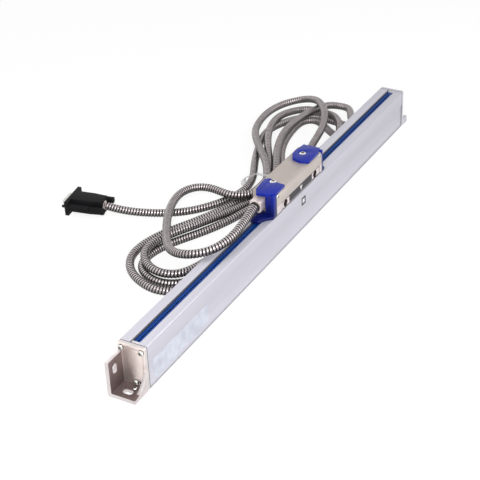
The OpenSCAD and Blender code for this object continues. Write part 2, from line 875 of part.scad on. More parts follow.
module bracket_near() {
    x = head_near;
    foot_z = body_h + foot_clear;
    screw_x = hole_x - hole_pitch / 2;
    color("mediumblue")
        difference() {
            union() {
                // top plate
                translate([0, 0, head_top])
                    linear_extrude(bracket_t)
                        polygon([
                            [x - near_over, 4], [x - near_over + 2, -7], [x - 1, bracket_front],
                            [screw_x - 2, bracket_front], [screw_x - 1, -4], [screw_x + plate_in, 2],
                            [screw_x + plate_in, plate_back - 3], [screw_x, plate_back],
                            [x + 12, plate_back - 0.4], [x - 1.5, plate_back - 1.8]
                        ]);
                // leg with a flange along its front edge, in front of the gland
                block([x - leg_t - part_gap, bracket_front, foot_z],
                    [x - part_gap, gland_y - gland_w / 2 - 0.5, head_top + 1]);
                block([x - 2 * leg_t, bracket_front, foot_z],
                    [x - part_gap, bracket_front + leg_t, head_top + 1]);
                // foot over the housing's slot
                translate([0, 0, foot_z])
                    linear_extrude(foot_t)
                        polygon([
                            [x - part_gap, bracket_front], [x - part_gap, 9], [x - near_foot + 6, 9.4],
                            [x - near_foot, 4], [x - near_foot, -3], [x - near_foot + 9, -8],
                            [x - 2 * leg_t - 1, bracket_front]
                        ]);
            }
            bracket_hole(screw_x);
            // the hole is open towards the block's middle
            block([screw_x, bracket_screw_y - bracket_hole_r, head_top - 1],
                [screw_x + 8, bracket_screw_y + bracket_hole_r, head_top + bracket_t + 1]);
        }
}

module bracket_far() {
    x = head_far;
    foot_z = body_h + foot_clear;
    screw_x = hole_x + hole_pitch / 2;
    color("mediumblue")
        difference() {
            union() {
                translate([0, 0, head_top])
                    linear_extrude(bracket_t)
                        polygon([
                            [screw_x - 17, -4], [screw_x - 14, bracket_front], [screw_x + 6, bracket_front],
                            [x + far_over, bracket_front + 3], [x + far_over, plate_back - 2],
                            [screw_x + 2, plate_back], [screw_x - 7, plate_back - 1], [screw_x - 14, 5]
                        ]);
                block([x + part_gap, bracket_front, foot_z], [x + part_gap + 3, -6, head_top + 1]);
                translate([0, 0, foot_z])
                    linear_extrude(foot_t)
                        polygon([
                            [x + part_gap, bracket_front], [x + far_foot - 2, bracket_front],
                            [x + far_foot, bracket_front + 4], [x + far_foot, 4], [x + far_foot - 4, 8],
                            [x + part_gap, 8]
                        ]);
            }
            bracket_hole(screw_x);
        }
}

module bracket_screws() {
    color("gainsboro")
        for (s = [-1, 1])
            translate([hole_x + s * hole_pitch / 2, bracket_screw_y, head_top + bracket_web])
                pan_screw(thread_r - part_clear, bracket_web + thread_depth - 1,
                    bracket_seat_r - 0.4, bracket_t - bracket_web);
}

// ---- Gland, lead and plug ----

module gland_body() {
    x = head_near;
    color("silver")
        difference() {
            union() {
                intersection() {
                    block([x - gland_len, gland_y - gland_w / 2, gland_z - gland_w / 2],
                        [x, gland_y + gland_w / 2, gland_z + gland_w / 2]);
                    bar_x(x - gland_len, gland_y, gland_z, gland_len, gland_w * 0.62);
                }
                bar_x(x - eps, gland_y, gland_z, 9, spigot_r);
                bar_x(x - gland_len - collar_len, gland_y, gland_z, collar_len + eps, lead_r + 0.9);
            }
            bar_x(x - gland_len - 4, gland_y, gland_z, gland_len + 16, bore_r);
        }
}

module gland_nut() {
    color("silver")
        difference() {
            translate([head_near + 6, gland_y, gland_z])
                rotate([0, 90, 0]) cylinder(2.8, 5.5, 5.5, $fn = 6);
            bar_x(head_near + 5, gland_y, gland_z, 5, spigot_r + part_clear);
        }
}

// The lead is a smooth spline that the route's points steer
function unit(v) = v / norm(v);
last_point = len(route) - 1;
function bulge(i) = route[i - 1] - 2 * route[i] + route[i + 1];
function raised(p) = [p[0], p[1], max(p[2], lead_r)];
function guide(i) =
    i < 0 ? 2 * guide(0) - guide(1)
    : i > last_point ? 2 * guide(last_point) - guide(last_point - 1)
    : i == 0 || i == last_point ? route[i]
    : raised(route[i] - 0.1 * bulge(i));
function on_lead(i) = (guide(i - 1) + 4 * guide(i) + guide(i + 1)) / 6;
function heading(i) =
    i == 0 ? [-1, 0, 0]
    : i == last_point ? [-sin(plug_yaw), cos(plug_yaw), 0]
    : unit(guide(i + 1) - guide(i - 1));
function turn(i) = acos(min(1, unit(guide(i) - guide(i - 1)) * unit(guide(i + 1) - guide(i))));
// Rings stand at the ends and where the lead bends
ring_at = [for (i = [0 : last_point]) if (i == 0 || i == last_point || turn(i) > 12) i];
function ring(centre, along, r, sides) =
    let (across = unit(cross([0, 0, 1], along)), up = cross(along, across))
    [for (k = [0 : sides - 1]) centre + r * (across * cos(360 * k / sides) + up * sin(360 * k / sides))];

module cable() {
    sides = 8;
    rings = [for (i = ring_at) ring(on_lead(i), heading(i), lead_r, sides)];
    count = len(rings);
    color("darkgray")
        polyhedron(
            points = [for (r = rings) each r],
            faces = concat(
                [[for (k = [sides - 1 : -1 : 0]) k]],
                [[for (k = [0 : sides - 1]) (count - 1) * sides + k]],
                [for (i = [0 : count - 2], k = [0 : sides - 1])
                    let (a = i * sides + k, b = i * sides + (k + 1) % sides)
                    [a, b, b + sides, a + sides]]
            )
        );
}

// The strap that holds the strands: a band bent round them, with its lock on the outer side
module tie_outline(out) {
    polygon([
        [tie_low - out, 0], [tie_low - out, tie_side + out / 2], [tie_crown[0] - out / 2, tie_top + out],
        [tie_crown[1] + out / 2, tie_top + out], [tie_high + out, tie_side + out / 2], [tie_high + out, 0]
    ]);
}

module cable_tie() {
    color("whitesmoke")
        translate([tie_x, 0, 0]) {
            along_x(tie_w)
                difference() {
                    tie_outline(tie_t);
                    tie_outline(0);
                }
            block([-tie_w * 0.7, tie_high + tie_t - eps, 1], [tie_w * 0.7, tie_high + tie_t + 3, 6]);
        }
}

module at_plug() {
    translate(plug_at) rotate([0, 0, plug_yaw]) children();
}

// The whole outline of the hood, cut into its two halves below
module hood_form() {
    difference() {
        union() {
            block([-flange_w / 2, -flange_t, 0], [flange_w / 2, 0, hood_h]);
            // body, drawn in towards the lead
            linear_extrude(hood_h)
                polygon([
                    [-hood_w / 2, -flange_t + 1], [-hood_w / 2, -24],
                    [-7.5, -hood_len + 4], [-7.5, -hood_len],
                    [7.5, -hood_len], [7.5, -hood_len + 4], [hood_w / 2, -24], [hood_w / 2, -flange_t + 1]
                ]);
            for (s = [-1, 1]) {
                bar_y(s * jack_pitch / 2, -fairing_len, jack_z, fairing_len - 1, fairing_r);
                block([s * jack_pitch / 2 - fairing_r, -fairing_len, jack_z - 2],
                    [s * jack_pitch / 2 + fairing_r, -1, jack_z + 2]);
            }
        }
        // room for the shell and its wires, the lead's mouth and the thumbscrews
        block([-8, -hood_len + 8, 2.2], [8, 1, hood_h - 2.2]);
        bar_y(0, -hood_len - 1, jack_z, 12, lead_r + 0.9);
        for (s = [-1, 1]) bar_y(s * jack_pitch / 2, -hood_len - 10, jack_z, hood_len + 12, 1.6);
        // screws from below, with their heads sunk
        for (y = hood_screws) translate([0, y, -1]) {
            cylinder(hood_h + 1 - hood_sink, 1.1, 1.1);
            cylinder(1 + hood_sink, 2.1, 2.1);
        }
    }
}

module plug_hood_lower() {
    color("dimgray")
        at_plug()
            intersection() {
                hood_form();
                block([-40, -80, -1], [40, 20, jack_z]);
            }
}

module plug_hood_upper() {
    color("dimgray")
        at_plug()
            intersection() {
                hood_form();
                block([-40, -80, jack_z], [40, 20, hood_h + 1]);
            }
}

module plug_screws() {
    color("gainsboro")
        at_plug()
            for (y = hood_screws)
                translate([0, y, hood_sink])
                    rotate([180, 0, 0]) pan_screw(1, hood_h - 2 * hood_sink - 0.1, 1.9, 0.9);
}

module plug_collar() {
    color("silver")
        at_plug()
            difference() {
                bar_y(0, -hood_len, jack_z, 9, lead_r + 0.85);
                bar_y(0, -hood_len + 1.5, jack_z, 10, lead_r - 0.6);
                bar_y(0, -hood_len - 1, jack_z, 4, 2.6);
            }
}

// D-shaped outline of the connector's face
module d_outline(grow) {
    polygon([
        [-8.5 - grow, 4.2 + grow], [8.5 + grow, 4.2 + grow],
        [7.1 + grow, -4.2 - grow], [-7.1 - grow, -4.2 - grow]
    ]);
}

module plug_shell() {
    color("silver")
        at_plug()
            translate([0, 0, jack_z]) {
                along_y(0, shell_depth)
                    difference() {
                        d_outline(0);
                        d_outline(-shell_t);
                    }
                along_y(0, 0.8)
                    difference() {
                        square([flange_w - 3.5, hood_h - 3], center = true);
                        d_outline(-shell_t);
                        for (s = [-1, 1]) translate([s * jack_pitch / 2, 0]) circle(1.6);
                    }
            }
}

module plug_insulator() {
    color("dimgray")
        at_plug() translate([0, 0, jack_z]) along_y(-6, 7) d_outline(-shell_t - part_clear);
}

module plug_pins() {
    color("goldenrod")
        at_plug()
            for (i = [0 : 8]) {
                upper = i < 5;
                x = upper ? (i - 2) * pin_pitch : (i - 6.5) * pin_pitch;
                z = jack_z + (upper ? 1 : -1) * row_pitch / 2;
                bar_y(x, 1, z, 4.4, 0.5);
            }
}

module thumbscrew(side) {
    color("dimgray")
        at_plug()
            translate([side * jack_pitch / 2, -fairing_len - 0.3, jack_z])
                rotate([90, 0, 0])
                    union() {
                        difference() {
                            cylinder(knob_len, knob_r, knob_r);
                            for (a = [0 : 30 : 359])
                                rotate([0, 0, a])
                                    translate([knob_r + 0.25, 0, 2]) cylinder(knob_len - 4, 0.55, 0.55);
                            translate([-knob_r - 1, -0.5, knob_len - 1.2]) cube([2 * knob_r + 2, 1, 2]);
                        }
                        translate([0, 0, -fairing_len - 5]) cylinder(fairing_len + 6, 1.5, 1.5);
                    }
}

housing();
glass_scale();
glass_bond();
lip(-1);  // lip_front
lip(1);  // lip_back
slot_plug(-1);  // slot_plug_near
slot_plug(1);  // slot_plug_far
end_cap(-1);  // end_cap_near
end_cap(1);  // end_cap_far
gasket(-1);  // gasket_near
gasket(1);  // gasket_far
end_screws(-1);  // end_screws_near
end_screws(1);  // end_screws_far
air_plugs();
ground_screw();
head_block();
base_plate();
corner_screws();
blade();
blade_screws();
coupling_wire();
carriage();
roller_pins();
roller_edge(-1);  // roller_edge_near
roller_edge(1);  // roller_edge_far
roller_face(-face_roller_x, face_roller_z);  // roller_face_near
roller_face(face_roller_x, face_roller_z);  // roller_face_far
roller_face(0, low_roller_z);  // roller_face_low
lamp();
lens();
index_grating();
photocell_board();
head_board();
board_posts();
front_strip();
index_mark();
bracket_near();
bracket_far();
bracket_screws();
gland_body();
gland_nut();
cable();
cable_tie();
plug_hood_lower();
plug_hood_upper();
plug_screws();
plug_collar();
plug_shell();
plug_insulator();
plug_pins();
thumbscrew(-1);  // thumbscrew_left
thumbscrew(1);  // thumbscrew_right
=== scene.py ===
"""Finishes an enclosed linear glass scale: its extruded housing and end caps, the reading head
with its transport brackets, the armoured lead with its plug, and a plain stage round them."""

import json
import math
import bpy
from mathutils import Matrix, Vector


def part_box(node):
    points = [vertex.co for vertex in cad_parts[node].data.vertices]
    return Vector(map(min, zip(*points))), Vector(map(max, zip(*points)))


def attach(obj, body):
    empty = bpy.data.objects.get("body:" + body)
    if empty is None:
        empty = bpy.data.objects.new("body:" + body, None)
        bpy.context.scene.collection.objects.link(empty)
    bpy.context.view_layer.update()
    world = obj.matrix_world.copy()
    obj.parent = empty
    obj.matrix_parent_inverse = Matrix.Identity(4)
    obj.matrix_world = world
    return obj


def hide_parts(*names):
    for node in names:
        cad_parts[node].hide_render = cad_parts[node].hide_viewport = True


bl_info = {
    "name": "Linear Glass Scale Finish",
    "version": (1, 0, 0),
    "blender": (4, 5, 0),
    "location": "3D View > Sidebar > Glass Scale",
    "description": "Materials, eased edges, armoured lead, fasteners and stage for a linear glass scale",
    "category": "Object",
}

import bmesh
import bpy
from mathutils import Matrix, Vector

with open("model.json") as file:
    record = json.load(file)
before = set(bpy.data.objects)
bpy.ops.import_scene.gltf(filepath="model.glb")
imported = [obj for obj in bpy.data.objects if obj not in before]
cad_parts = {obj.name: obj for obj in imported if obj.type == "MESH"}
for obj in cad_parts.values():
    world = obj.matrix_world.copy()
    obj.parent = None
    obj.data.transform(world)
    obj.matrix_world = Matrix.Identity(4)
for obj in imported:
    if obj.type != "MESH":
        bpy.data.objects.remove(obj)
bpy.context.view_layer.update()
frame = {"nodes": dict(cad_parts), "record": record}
NODES = frame["nodes"]
BODY_OF = {node: body for body, nodes in frame["record"]["behaviour"]["bodies"].items() for node in nodes}
MM = 0.001
ROOT, HEAD = "scale_unit", "reading_head"
JOIN = 2e-6  # points nearer than this are one
FACING = 0.9  # a face looks along an axis from here on
PALE_PINK = (0.8, 0.71, 0.72)  # a pale pinkish white


# ---- Nodes written as expressions ----

def operator(operation, reflected=False):
    """A method that adds a Math node on a value and another value or number."""
    def method(self, other):
        return self.nodes.math(operation, *((other, self) if reflected else (self, other)))
    return method


class Value:
    """A node's output. Sums with it add Math nodes."""

    def __init__(self, nodes, socket):
        self.nodes, self.socket = nodes, socket

    __add__, __radd__ = operator("ADD"), operator("ADD", True)
    __sub__, __rsub__ = operator("SUBTRACT"), operator("SUBTRACT", True)
    __mul__, __rmul__ = operator("MULTIPLY"), operator("MULTIPLY", True)
    __truediv__, __rtruediv__ = operator("DIVIDE"), operator("DIVIDE", True)
    __pow__, __rpow__ = operator("POWER"), operator("POWER", True)

    def band(self, low, high):
        """0 below low, 1 above high, and smooth between."""
        return self.nodes.add("ShaderNodeMapRange", {"interpolation_type": "SMOOTHSTEP"},
                              {0: self, 1: low, 2: high, 3: 0.0, 4: 1.0})


class Nodes:
    """A node tree whose nodes are written as expressions."""

    def __init__(self, tree):
        self.tree = tree

    def add(self, kind, settings=None, sockets=None, out=0):
        """Adds a node: its settings, then its sockets' values or links. Gives its output, or several."""
        node = self.tree.nodes.new(kind)
        for name, value in (settings or {}).items():
            setattr(node, name, value)
        for name, value in (sockets or {}).items():
            if isinstance(value, Value):
                self.tree.links.new(value.socket, node.inputs[name])
            else:
                node.inputs[name].default_value = value
        if isinstance(out, tuple):
            return [Value(self, node.outputs[name]) for name in out]
        return Value(self, node.outputs[out]) if node.outputs else None

    def math(self, operation, *values):
        """One Math node on values."""
        return self.add("ShaderNodeMath", {"operation": operation}, dict(enumerate(values)))

    def vector(self, operation, *values):
        """One Vector Math node on values."""
        return self.add("ShaderNodeVectorMath", {"operation": operation}, dict(enumerate(values)))


def emptied(holder):
    """The node tree of a material or a world, with nothing in it."""
    holder.use_nodes = True
    holder.node_tree.nodes.clear()
    return holder.node_tree


class Finish(Nodes):
    """A material with one Principled shader."""

    def __init__(self, name, **shader):
        self.material = bpy.data.materials.new(name)
        super().__init__(emptied(self.material))
        self.shader = self.tree.nodes.new("ShaderNodeBsdfPrincipled")
        self.add("ShaderNodeOutputMaterial", {}, {0: Value(self, self.shader.outputs[0])})
        self.place = self.add("ShaderNodeTexCoord", {}, {}, "Object")
        self.set(**shader)

    def mix(self, factor, low, high):
        """A colour between low and high."""
        colours = {6: low if isinstance(low, Value) else (*low, 1.0),
                   7: high if isinstance(high, Value) else (*high, 1.0)}
        return self.add("ShaderNodeMix", {"data_type": "RGBA"}, {0: factor, **colours}, 2)

    def noise(self, scale, stretch=(1.0, 1.0, 1.0), detail=3.0):
        """Noise of scale cells to the metre, finer by stretch along each axis."""
        place = self.vector("MULTIPLY", self.place, stretch)
        return self.add("ShaderNodeTexNoise", {}, {"Vector": place, "Scale": scale,
                                                   "Detail": detail, "Roughness": 0.55})

    def cells(self, scale, distance="EUCLIDEAN"):
        """How far the nearest of many scattered points lies, scale of them to the metre."""
        return self.add("ShaderNodeTexVoronoi", {"distance": distance},
                        {"Vector": self.place, "Scale": scale})

    def attribute(self, name):
        """A number kept on the mesh."""
        return self.add("ShaderNodeAttribute", {"attribute_name": name}, {}, "Fac")

    def axis(self, letter):
        """One coordinate of the place, in metres."""
        return self.add("ShaderNodeSeparateXYZ", {}, {0: self.place}, letter)

    def between(self, letter, low, high, soft=0.0001):
        """1 where the coordinate lies between low and high, 0 outside, soft metres wide at each edge."""
        along = self.axis(letter)
        return along.band(low, low + soft) * (1.0 - along.band(high - soft, high))

    def square(self, first, second, middle, half):
        """1 in a square about middle, seen along the third coordinate."""
        return (self.between(first, middle[0] - half, middle[0] + half)
                * self.between(second, middle[1] - half, middle[1] + half))

    def bump(self, height, depth):
        """Raises the surface by height times depth, in metres."""
        return self.add("ShaderNodeBump", {}, {"Height": height, "Distance": depth})

    def set(self, **sockets):
        """Sets the shader's sockets, with _ for each space in a name, to values or links."""
        for name, value in sockets.items():
            socket = self.shader.inputs[name.replace("_", " ")]
            if isinstance(value, Value):
                self.tree.links.new(value.socket, socket)
            elif hasattr(value, "__len__") and len(value) == 3:
                socket.default_value = (*value, 1.0)
            else:
                socket.default_value = value


def shade(colour, factor):
    """The colour, darker or brighter by factor."""
    return tuple(min(1.0, c * factor) for c in colour)


def extruded_aluminium(name, colour):
    """Satin anodised aluminium: die lines along X, a darker foot, painted shade in the slot and along the
    front top edge, a plain square marker in front.
    """
    (_, front, _), (_, _, top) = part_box("housing")
    slot_front, slot_back, slot_floor = -0.005, 0.0036, 0.038
    marker, marker_half, marker_inner = (0.0197, 0.0322), 0.0045, 0.0023
    f = Finish(name, Metallic=0.4)
    lines = f.noise(1.0, (9.0, 900.0, 900.0), 4.0)
    cloud = f.noise(14.0, (0.4, 1.0, 1.0))
    grain = f.noise(5200.0, detail=2.0)
    tone = f.mix(lines.band(0.3, 0.7), shade(colour, 0.94), shade(colour, 1.03))
    foot = f.axis("Z").band(0.0022, 0.0038)
    tone = f.mix(foot, shade(colour, 0.62), tone)
    tone = f.mix(cloud.band(0.35, 0.7) * 0.25 * foot, tone, shade(colour, 1.1))
    # painted shade along the front top edge, which dims the highlight on its rounding
    edge = 1.0 - f.axis("Y").band(front + 0.00005, front + 0.0009)
    tone = f.mix(edge * f.axis("Z").band(top - 0.0011, top - 0.0006), tone, shade(colour, 0.8))
    # painted shade inside the slot between the seal lips
    slot = f.between("Y", slot_front, slot_back, 0.0003) * f.between("Z", slot_floor, top + 0.0006, 0.0002)
    tone = f.mix(slot, tone, shade(colour, 0.16))
    on_front = 1.0 - f.axis("Y").band(front + 0.0002, front + 0.0004)
    tone = f.mix(f.square("X", "Z", marker, marker_half) * on_front, tone, (0.02, 0.02, 0.022))
    f.set(Base_Color=f.mix(f.square("X", "Z", marker, marker_inner) * on_front, tone, (0.82, 0.82, 0.84)),
          Roughness=0.36 + lines * 0.12 + cloud * 0.08,
          Normal=f.bump(lines * 0.7 + grain * 0.3, 0.00002))
    return f.material


def cast_metal(name, colour, metallic=0.85, roughness=0.3, corner=0.0):
    """Satin plated casting with a fine orange-peel skin, and painted shade by corner where the mounting walls
    meet.
    """
    f = Finish(name, Metallic=metallic)
    skin = f.noise(950.0, detail=4.0)
    cloud = f.noise(55.0)
    # painted shade in the corner between the mounting walls
    corner_shade = f.axis("Y").band(-0.008, 0.0095) * (1.0 - f.axis("Z").band(0.004, 0.034)) * corner
    tone = f.mix(cloud.band(0.3, 0.7), shade(colour, 0.9), shade(colour, 1.08))
    f.set(Base_Color=f.mix(corner_shade, tone, shade(colour, 0.2)),
          Roughness=roughness + skin * 0.12 + cloud * 0.06,
          Normal=f.bump(skin, 0.00004))
    return f.material


def fine_paint(name, colour, edge=0.0, joint=1.0, foot=0.0):
    """Matt metallic paint with a fine sparkle: pale below edge, with painted shadow above the ledge height
    and below foot.
    """
    f = Finish(name, Metallic=0.3)
    grain = f.noise(3600.0, detail=2.0)
    cloud = f.noise(45.0)
    sparkle = cloud.band(0.3, 0.7) * 0.7 + f.cells(5200.0).band(0.2, 0.7) * 0.3
    tone = f.mix(sparkle, shade(colour, 0.95), shade(colour, 1.05))
    height = f.axis("Z")
    tone = f.mix(height.band(edge - 0.0008, edge), PALE_PINK, tone)
    # painted shadow: a dark line just under the ledge over a sunk panel
    tone = f.mix(height.band(joint - 0.0007, joint - 0.0003), tone, shade(colour, 0.06))
    # painted shadow in the gap under the head, below foot
    f.set(Base_Color=f.mix(height.band(foot, foot + 0.0003), shade(colour, 0.06), tone),
          Roughness=0.4 + grain * 0.14, Normal=f.bump(grain, 0.00002))
    return f.material


def turned_steel(name, colour=(0.82, 0.81, 0.78), roughness=0.18):
    """Bright plated steel with fine tool marks."""
    f = Finish(name, Metallic=1.0)
    marks = f.noise(2600.0, detail=3.0)
    stain = f.noise(260.0)
    f.set(Base_Color=f.mix(stain.band(0.35, 0.75), colour, shade(colour, 0.82)),
          Roughness=roughness + marks * 0.16, Normal=f.bump(marks, 0.00001))
    return f.material


def moulded(name, colour, roughness=0.35, grain=0.00003, scale=1500.0, metallic=0.0, specular=0.5, alpha=1.0):
    """Moulded plastic or rubber with a spark-eroded grain and slight sheen changes."""
    f = Finish(name, Metallic=metallic, Specular_IOR_Level=specular, Alpha=alpha)
    pits = f.noise(scale, detail=3.0)
    cloud = f.noise(90.0)
    f.set(Base_Color=f.mix(cloud.band(0.3, 0.7), shade(colour, 0.88), shade(colour, 1.1)),
          Roughness=roughness + pits * 0.14 + cloud * 0.06, Normal=f.bump(pits, grain))
    return f.material


def bracket_plastic(name, colour):
    """Glossy moulded plastic, with painted shade that darkens it from the top plate down to the foot."""
    low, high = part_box("bracket_near")
    f = Finish(name, Specular_IOR_Level=0.28)
    pits = f.noise(500.0, detail=3.0)
    cloud = f.noise(90.0)
    # painted shade, from the top plate down to the foot
    height = f.axis("Z").band(low.z + 0.0003, high.z - 0.0013)
    tone = f.mix(cloud.band(0.3, 0.7), shade(colour, 0.92), shade(colour, 1.06))
    f.set(Base_Color=f.mix(height, shade(colour, 0.3), tone), Roughness=0.24 + pits * 0.14,
          Normal=f.bump(pits, 0.00003))
    return f.material


def armour(name, colour):
    """Interlocked steel strip: bright crowns, duller in the grooves between turns, with painted shade in the
    grooves and on the underside.
    """
    f = Finish(name, Metallic=0.9)
    crown = f.attribute("crown").band(0.5, 1.0)
    grime = f.noise(170.0, detail=4.0).band(0.35, 0.75)
    scuff = f.noise(2400.0)
    bright = f.mix(grime, colour, shade(colour, 0.8))
    # painted shade on the underside of the lead
    bright = f.mix(f.attribute("upward").band(-0.55, 0.65), shade(colour, 0.12), bright)
    # painted shade in the grooves between turns
    f.set(Base_Color=f.mix(crown, shade(colour, 0.03), bright),
          Roughness=0.46 - crown * 0.24 + scuff * 0.08,
          Normal=f.bump(scuff, 0.00001))
    return f.material


def graduated_glass(name):
    """Clear glass with a track of fine dark lines, one to the millimetre."""
    f = Finish(name, IOR=1.5, Transmission_Weight=0.35)
    line = f.math("FRACT", f.axis("X") / MM).band(0.42, 0.58)
    track = f.between("Z", 0.011, 0.0214, 0.0004)
    haze = f.noise(60.0)
    clear = f.mix(haze, (0.72, 0.84, 0.82), (0.8, 0.9, 0.88))
    f.set(Base_Color=f.mix(line * track, clear, (0.1, 0.11, 0.12)),
          Roughness=0.04 + haze * 0.05)
    return f.material


def circuit_board(name):
    """Green solder mask over copper tracks."""
    f = Finish(name)
    tracks = f.cells(420.0, "CHEBYCHEV")
    weave = f.noise(2200.0)
    f.set(Base_Color=f.mix(tracks.band(0.35, 0.45), (0.02, 0.2, 0.09), (0.04, 0.32, 0.14)),
          Roughness=0.3 + weave * 0.1, Normal=f.bump(tracks, 0.00002))
    return f.material


FINISHES = {}


def finish(key):
    """The named finish, made once."""
    looks = bpy.context.scene.scale_looks
    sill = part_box("head_block")[0].z
    makers = {
        "housing": lambda: extruded_aluminium("satin_anodised_extrusion", tuple(looks.housing)),
        "caps": lambda: cast_metal("satin_nickel_casting", tuple(looks.caps)),
        # the far cap is the same casting as the near one, in a cooler, less metallic copy: painted light for
        # that end
        "far_caps": lambda: cast_metal("satin_nickel_casting_far", tuple(looks.housing), 0.55, 0.36),
        "cap_edge": lambda: cast_metal("worn_bright_edge", (0.8, 0.76, 0.75), 0.8, 0.24),
        # a brighter copy of the cap casting for the plate's outer face, painted light, with painted shade in
        # its corner
        "cap_plate": lambda: cast_metal("plain_plate_casting", (0.92, 0.81, 0.76), 0.8, 0.3, 0.75),
        # a dark copy of the cap casting for the walls' inner faces: painted shade
        "cap_pocket": lambda: cast_metal("dull_pocket_casting", (0.2, 0.147, 0.142), 0.6, 0.42, 0.5),
        "screw": lambda: turned_steel("plated_screw_steel"),
        "recess": lambda: turned_steel("dark_screw_recess", (0.1, 0.095, 0.09), 0.5),
        "lip": lambda: moulded("blue_seal_rubber", tuple(looks.lips), 0.4, 0.00005, 700.0, specular=0.3),
        "gasket": lambda: moulded("black_gasket_rubber", (0.03, 0.03, 0.032), 0.7),
        "white": lambda: moulded("white_nylon", (0.66, 0.64, 0.67), 0.45),
        "glass": lambda: graduated_glass("graduated_glass"),
        "head": lambda: fine_paint("warm_grey_head_paint", tuple(looks.head)),
        "head_edge": lambda: fine_paint("rubbed_head_edge", shade(tuple(looks.head), 1.16)),
        "head_front": lambda: fine_paint("pale_head_front", shade(tuple(looks.head), 1.18),
                                         edge=sill + 0.0094, foot=sill + 0.0007),
        "head_panel": lambda: fine_paint("pale_recess_paint", PALE_PINK,
                                         joint=sill + 0.0083, foot=sill + 0.0007),
        # painted shade for the inside of the head's holes and the ledge over its sunk panel
        "bore": lambda: fine_paint("dark_bore", (0.035, 0.024, 0.02)),
        "blade": lambda: turned_steel("ground_blade_steel", (0.62, 0.62, 0.63), 0.3),
        "bracket": lambda: bracket_plastic("royal_blue_gloss_plastic", tuple(looks.brackets)),
        "carriage": lambda: moulded("black_carriage_plastic", (0.05, 0.052, 0.056), 0.5),
        "roller": lambda: turned_steel("polished_race_steel", (0.68, 0.68, 0.7), 0.12),
        "board": lambda: circuit_board("green_circuit_board"),
        "brass": lambda: turned_steel("plain_brass", (0.72, 0.52, 0.22), 0.28),
        "strip": lambda: fine_paint("dark_grey_strip", (0.027, 0.0245, 0.032),
                                    edge=sill + 0.0018, foot=sill + 0.0009),
        "mark": lambda: moulded("white_marking_ink", (0.85, 0.85, 0.86), 0.5),
        "gland": lambda: cast_metal("nickel_plated_gland", (0.88, 0.77, 0.73), 0.35, 0.32),
        "armour": lambda: armour("interlocked_steel_armour", tuple(looks.armour)),
        "hood": lambda: moulded("black_hood_plastic", (0.008, 0.008, 0.009), 0.45, 0.00006, 1400.0,
                                specular=0.1),
        "shell": lambda: turned_steel("tinned_shell_steel", (0.7, 0.69, 0.66), 0.25),
        "pin": lambda: turned_steel("gold_plated_pin", (0.8, 0.6, 0.25), 0.2),
        "tie": lambda: moulded("clear_white_nylon_tie", (0.78, 0.78, 0.78), 0.4, alpha=0.42),
        "label": lambda: moulded("bare_foil_label", (0.66, 0.685, 0.78), 0.42, 0.00001, 3000.0, 0.2),
    }
    if key not in FINISHES:
        FINISHES[key] = makers[key]()
    return FINISHES[key]


# ---- Mesh helpers ----

def new_piece(name, mesh, body, slot, *nodes):
    """Puts a finished mesh in the scene: it rides on body and stands for nodes."""
    piece = bpy.data.objects.new(name, mesh)
    bpy.context.scene.collection.objects.link(piece)
    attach(piece, body)
    if nodes:
        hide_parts(*nodes)
    return piece


def smooth_by_angle(mesh, degrees=32.0):
    """Smooths a mesh, but for edges sharper than degrees."""
    mesh.polygons.foreach_set("use_smooth", [True] * len(mesh.polygons))
    mesh.set_sharp_from_angle(angle=math.radians(degrees))


def merged_copy(node):
    """A bmesh of a CAD node with its loose triangles joined and its flat faces whole."""
    bm = bmesh.new()
    bm.from_mesh(NODES[node].data)
    bmesh.ops.remove_doubles(bm, verts=bm.verts, dist=JOIN)
    bmesh.ops.dissolve_limit(bm, angle_limit=math.radians(0.6), verts=bm.verts, edges=bm.edges)
    return bm


def baked(piece):
    """The mesh of a piece with its modifiers applied."""
    graph = bpy.context.evaluated_depsgraph_get()
    made = bpy.data.meshes.new_from_object(piece.evaluated_get(graph), depsgraph=graph)
    bpy.data.objects.remove(piece)
    return made


def eased(node, key, slot, width, edge_key=None, segments=2):
    """A CAD node's shape with its corners rounded by width millimetres, perhaps in a finish of their own."""
    bm = merged_copy(node)
    mesh = bpy.data.meshes.new(node + "_eased")
    bm.to_mesh(mesh)
    bm.free()
    mesh.materials.clear()
    mesh.materials.append(finish(key))
    if edge_key:
        mesh.materials.append(finish(edge_key))
    holder = bpy.data.objects.new(node + "_work", mesh)
    bpy.context.scene.collection.objects.link(holder)
    bevel = holder.modifiers.new("ease", "BEVEL")
    bevel.width = width * MM
    bevel.segments = segments
    bevel.limit_method = "ANGLE"
    bevel.angle_limit = math.radians(30.0)
    bevel.use_clamp_overlap = True
    bevel.miter_outer = "MITER_ARC"
    if edge_key:
        bevel.material = 1
    made = baked(holder)
    made.name = node + "_eased"
    smooth_by_angle(made)
    return new_piece(node + "_finished", made, BODY_OF[node], slot, node)


def tinted(piece, key, chosen):
    """Gives the faces of a piece that chosen(middle, normal) picks another finish."""
    mesh = piece.data
    number = len(mesh.materials)
    mesh.materials.append(finish(key))
    for face in mesh.polygons:
        if chosen(face.center / MM, face.normal):
            face.material_index = number


def refinished(node, key):
    """Gives a CAD node another finish, as its shape is right."""
    data = NODES[node].data
    data.materials.clear()
    data.materials.append(finish(key))


def solids(node):
    """(lowest corner, highest corner) of each separate solid in a CAD node."""
    bm = bmesh.new()
    bm.from_mesh(NODES[node].data)
    bmesh.ops.remove_doubles(bm, verts=bm.verts, dist=JOIN)
    boxes, seen = [], set()
    for start in bm.verts:
        if start in seen:
            continue
        seen.add(start)
        group, queue = [], [start]
        while queue:
            vert = queue.pop()
            group.append(vert.co.copy())
            for edge in vert.link_edges:
                other = edge.other_vert(vert)
                if other not in seen:
                    seen.add(other)
                    queue.append(other)
        boxes.append((Vector([min(p[i] for p in group) for i in range(3)]),
                      Vector([max(p[i] for p in group) for i in range(3)])))
    bm.free()
    return boxes


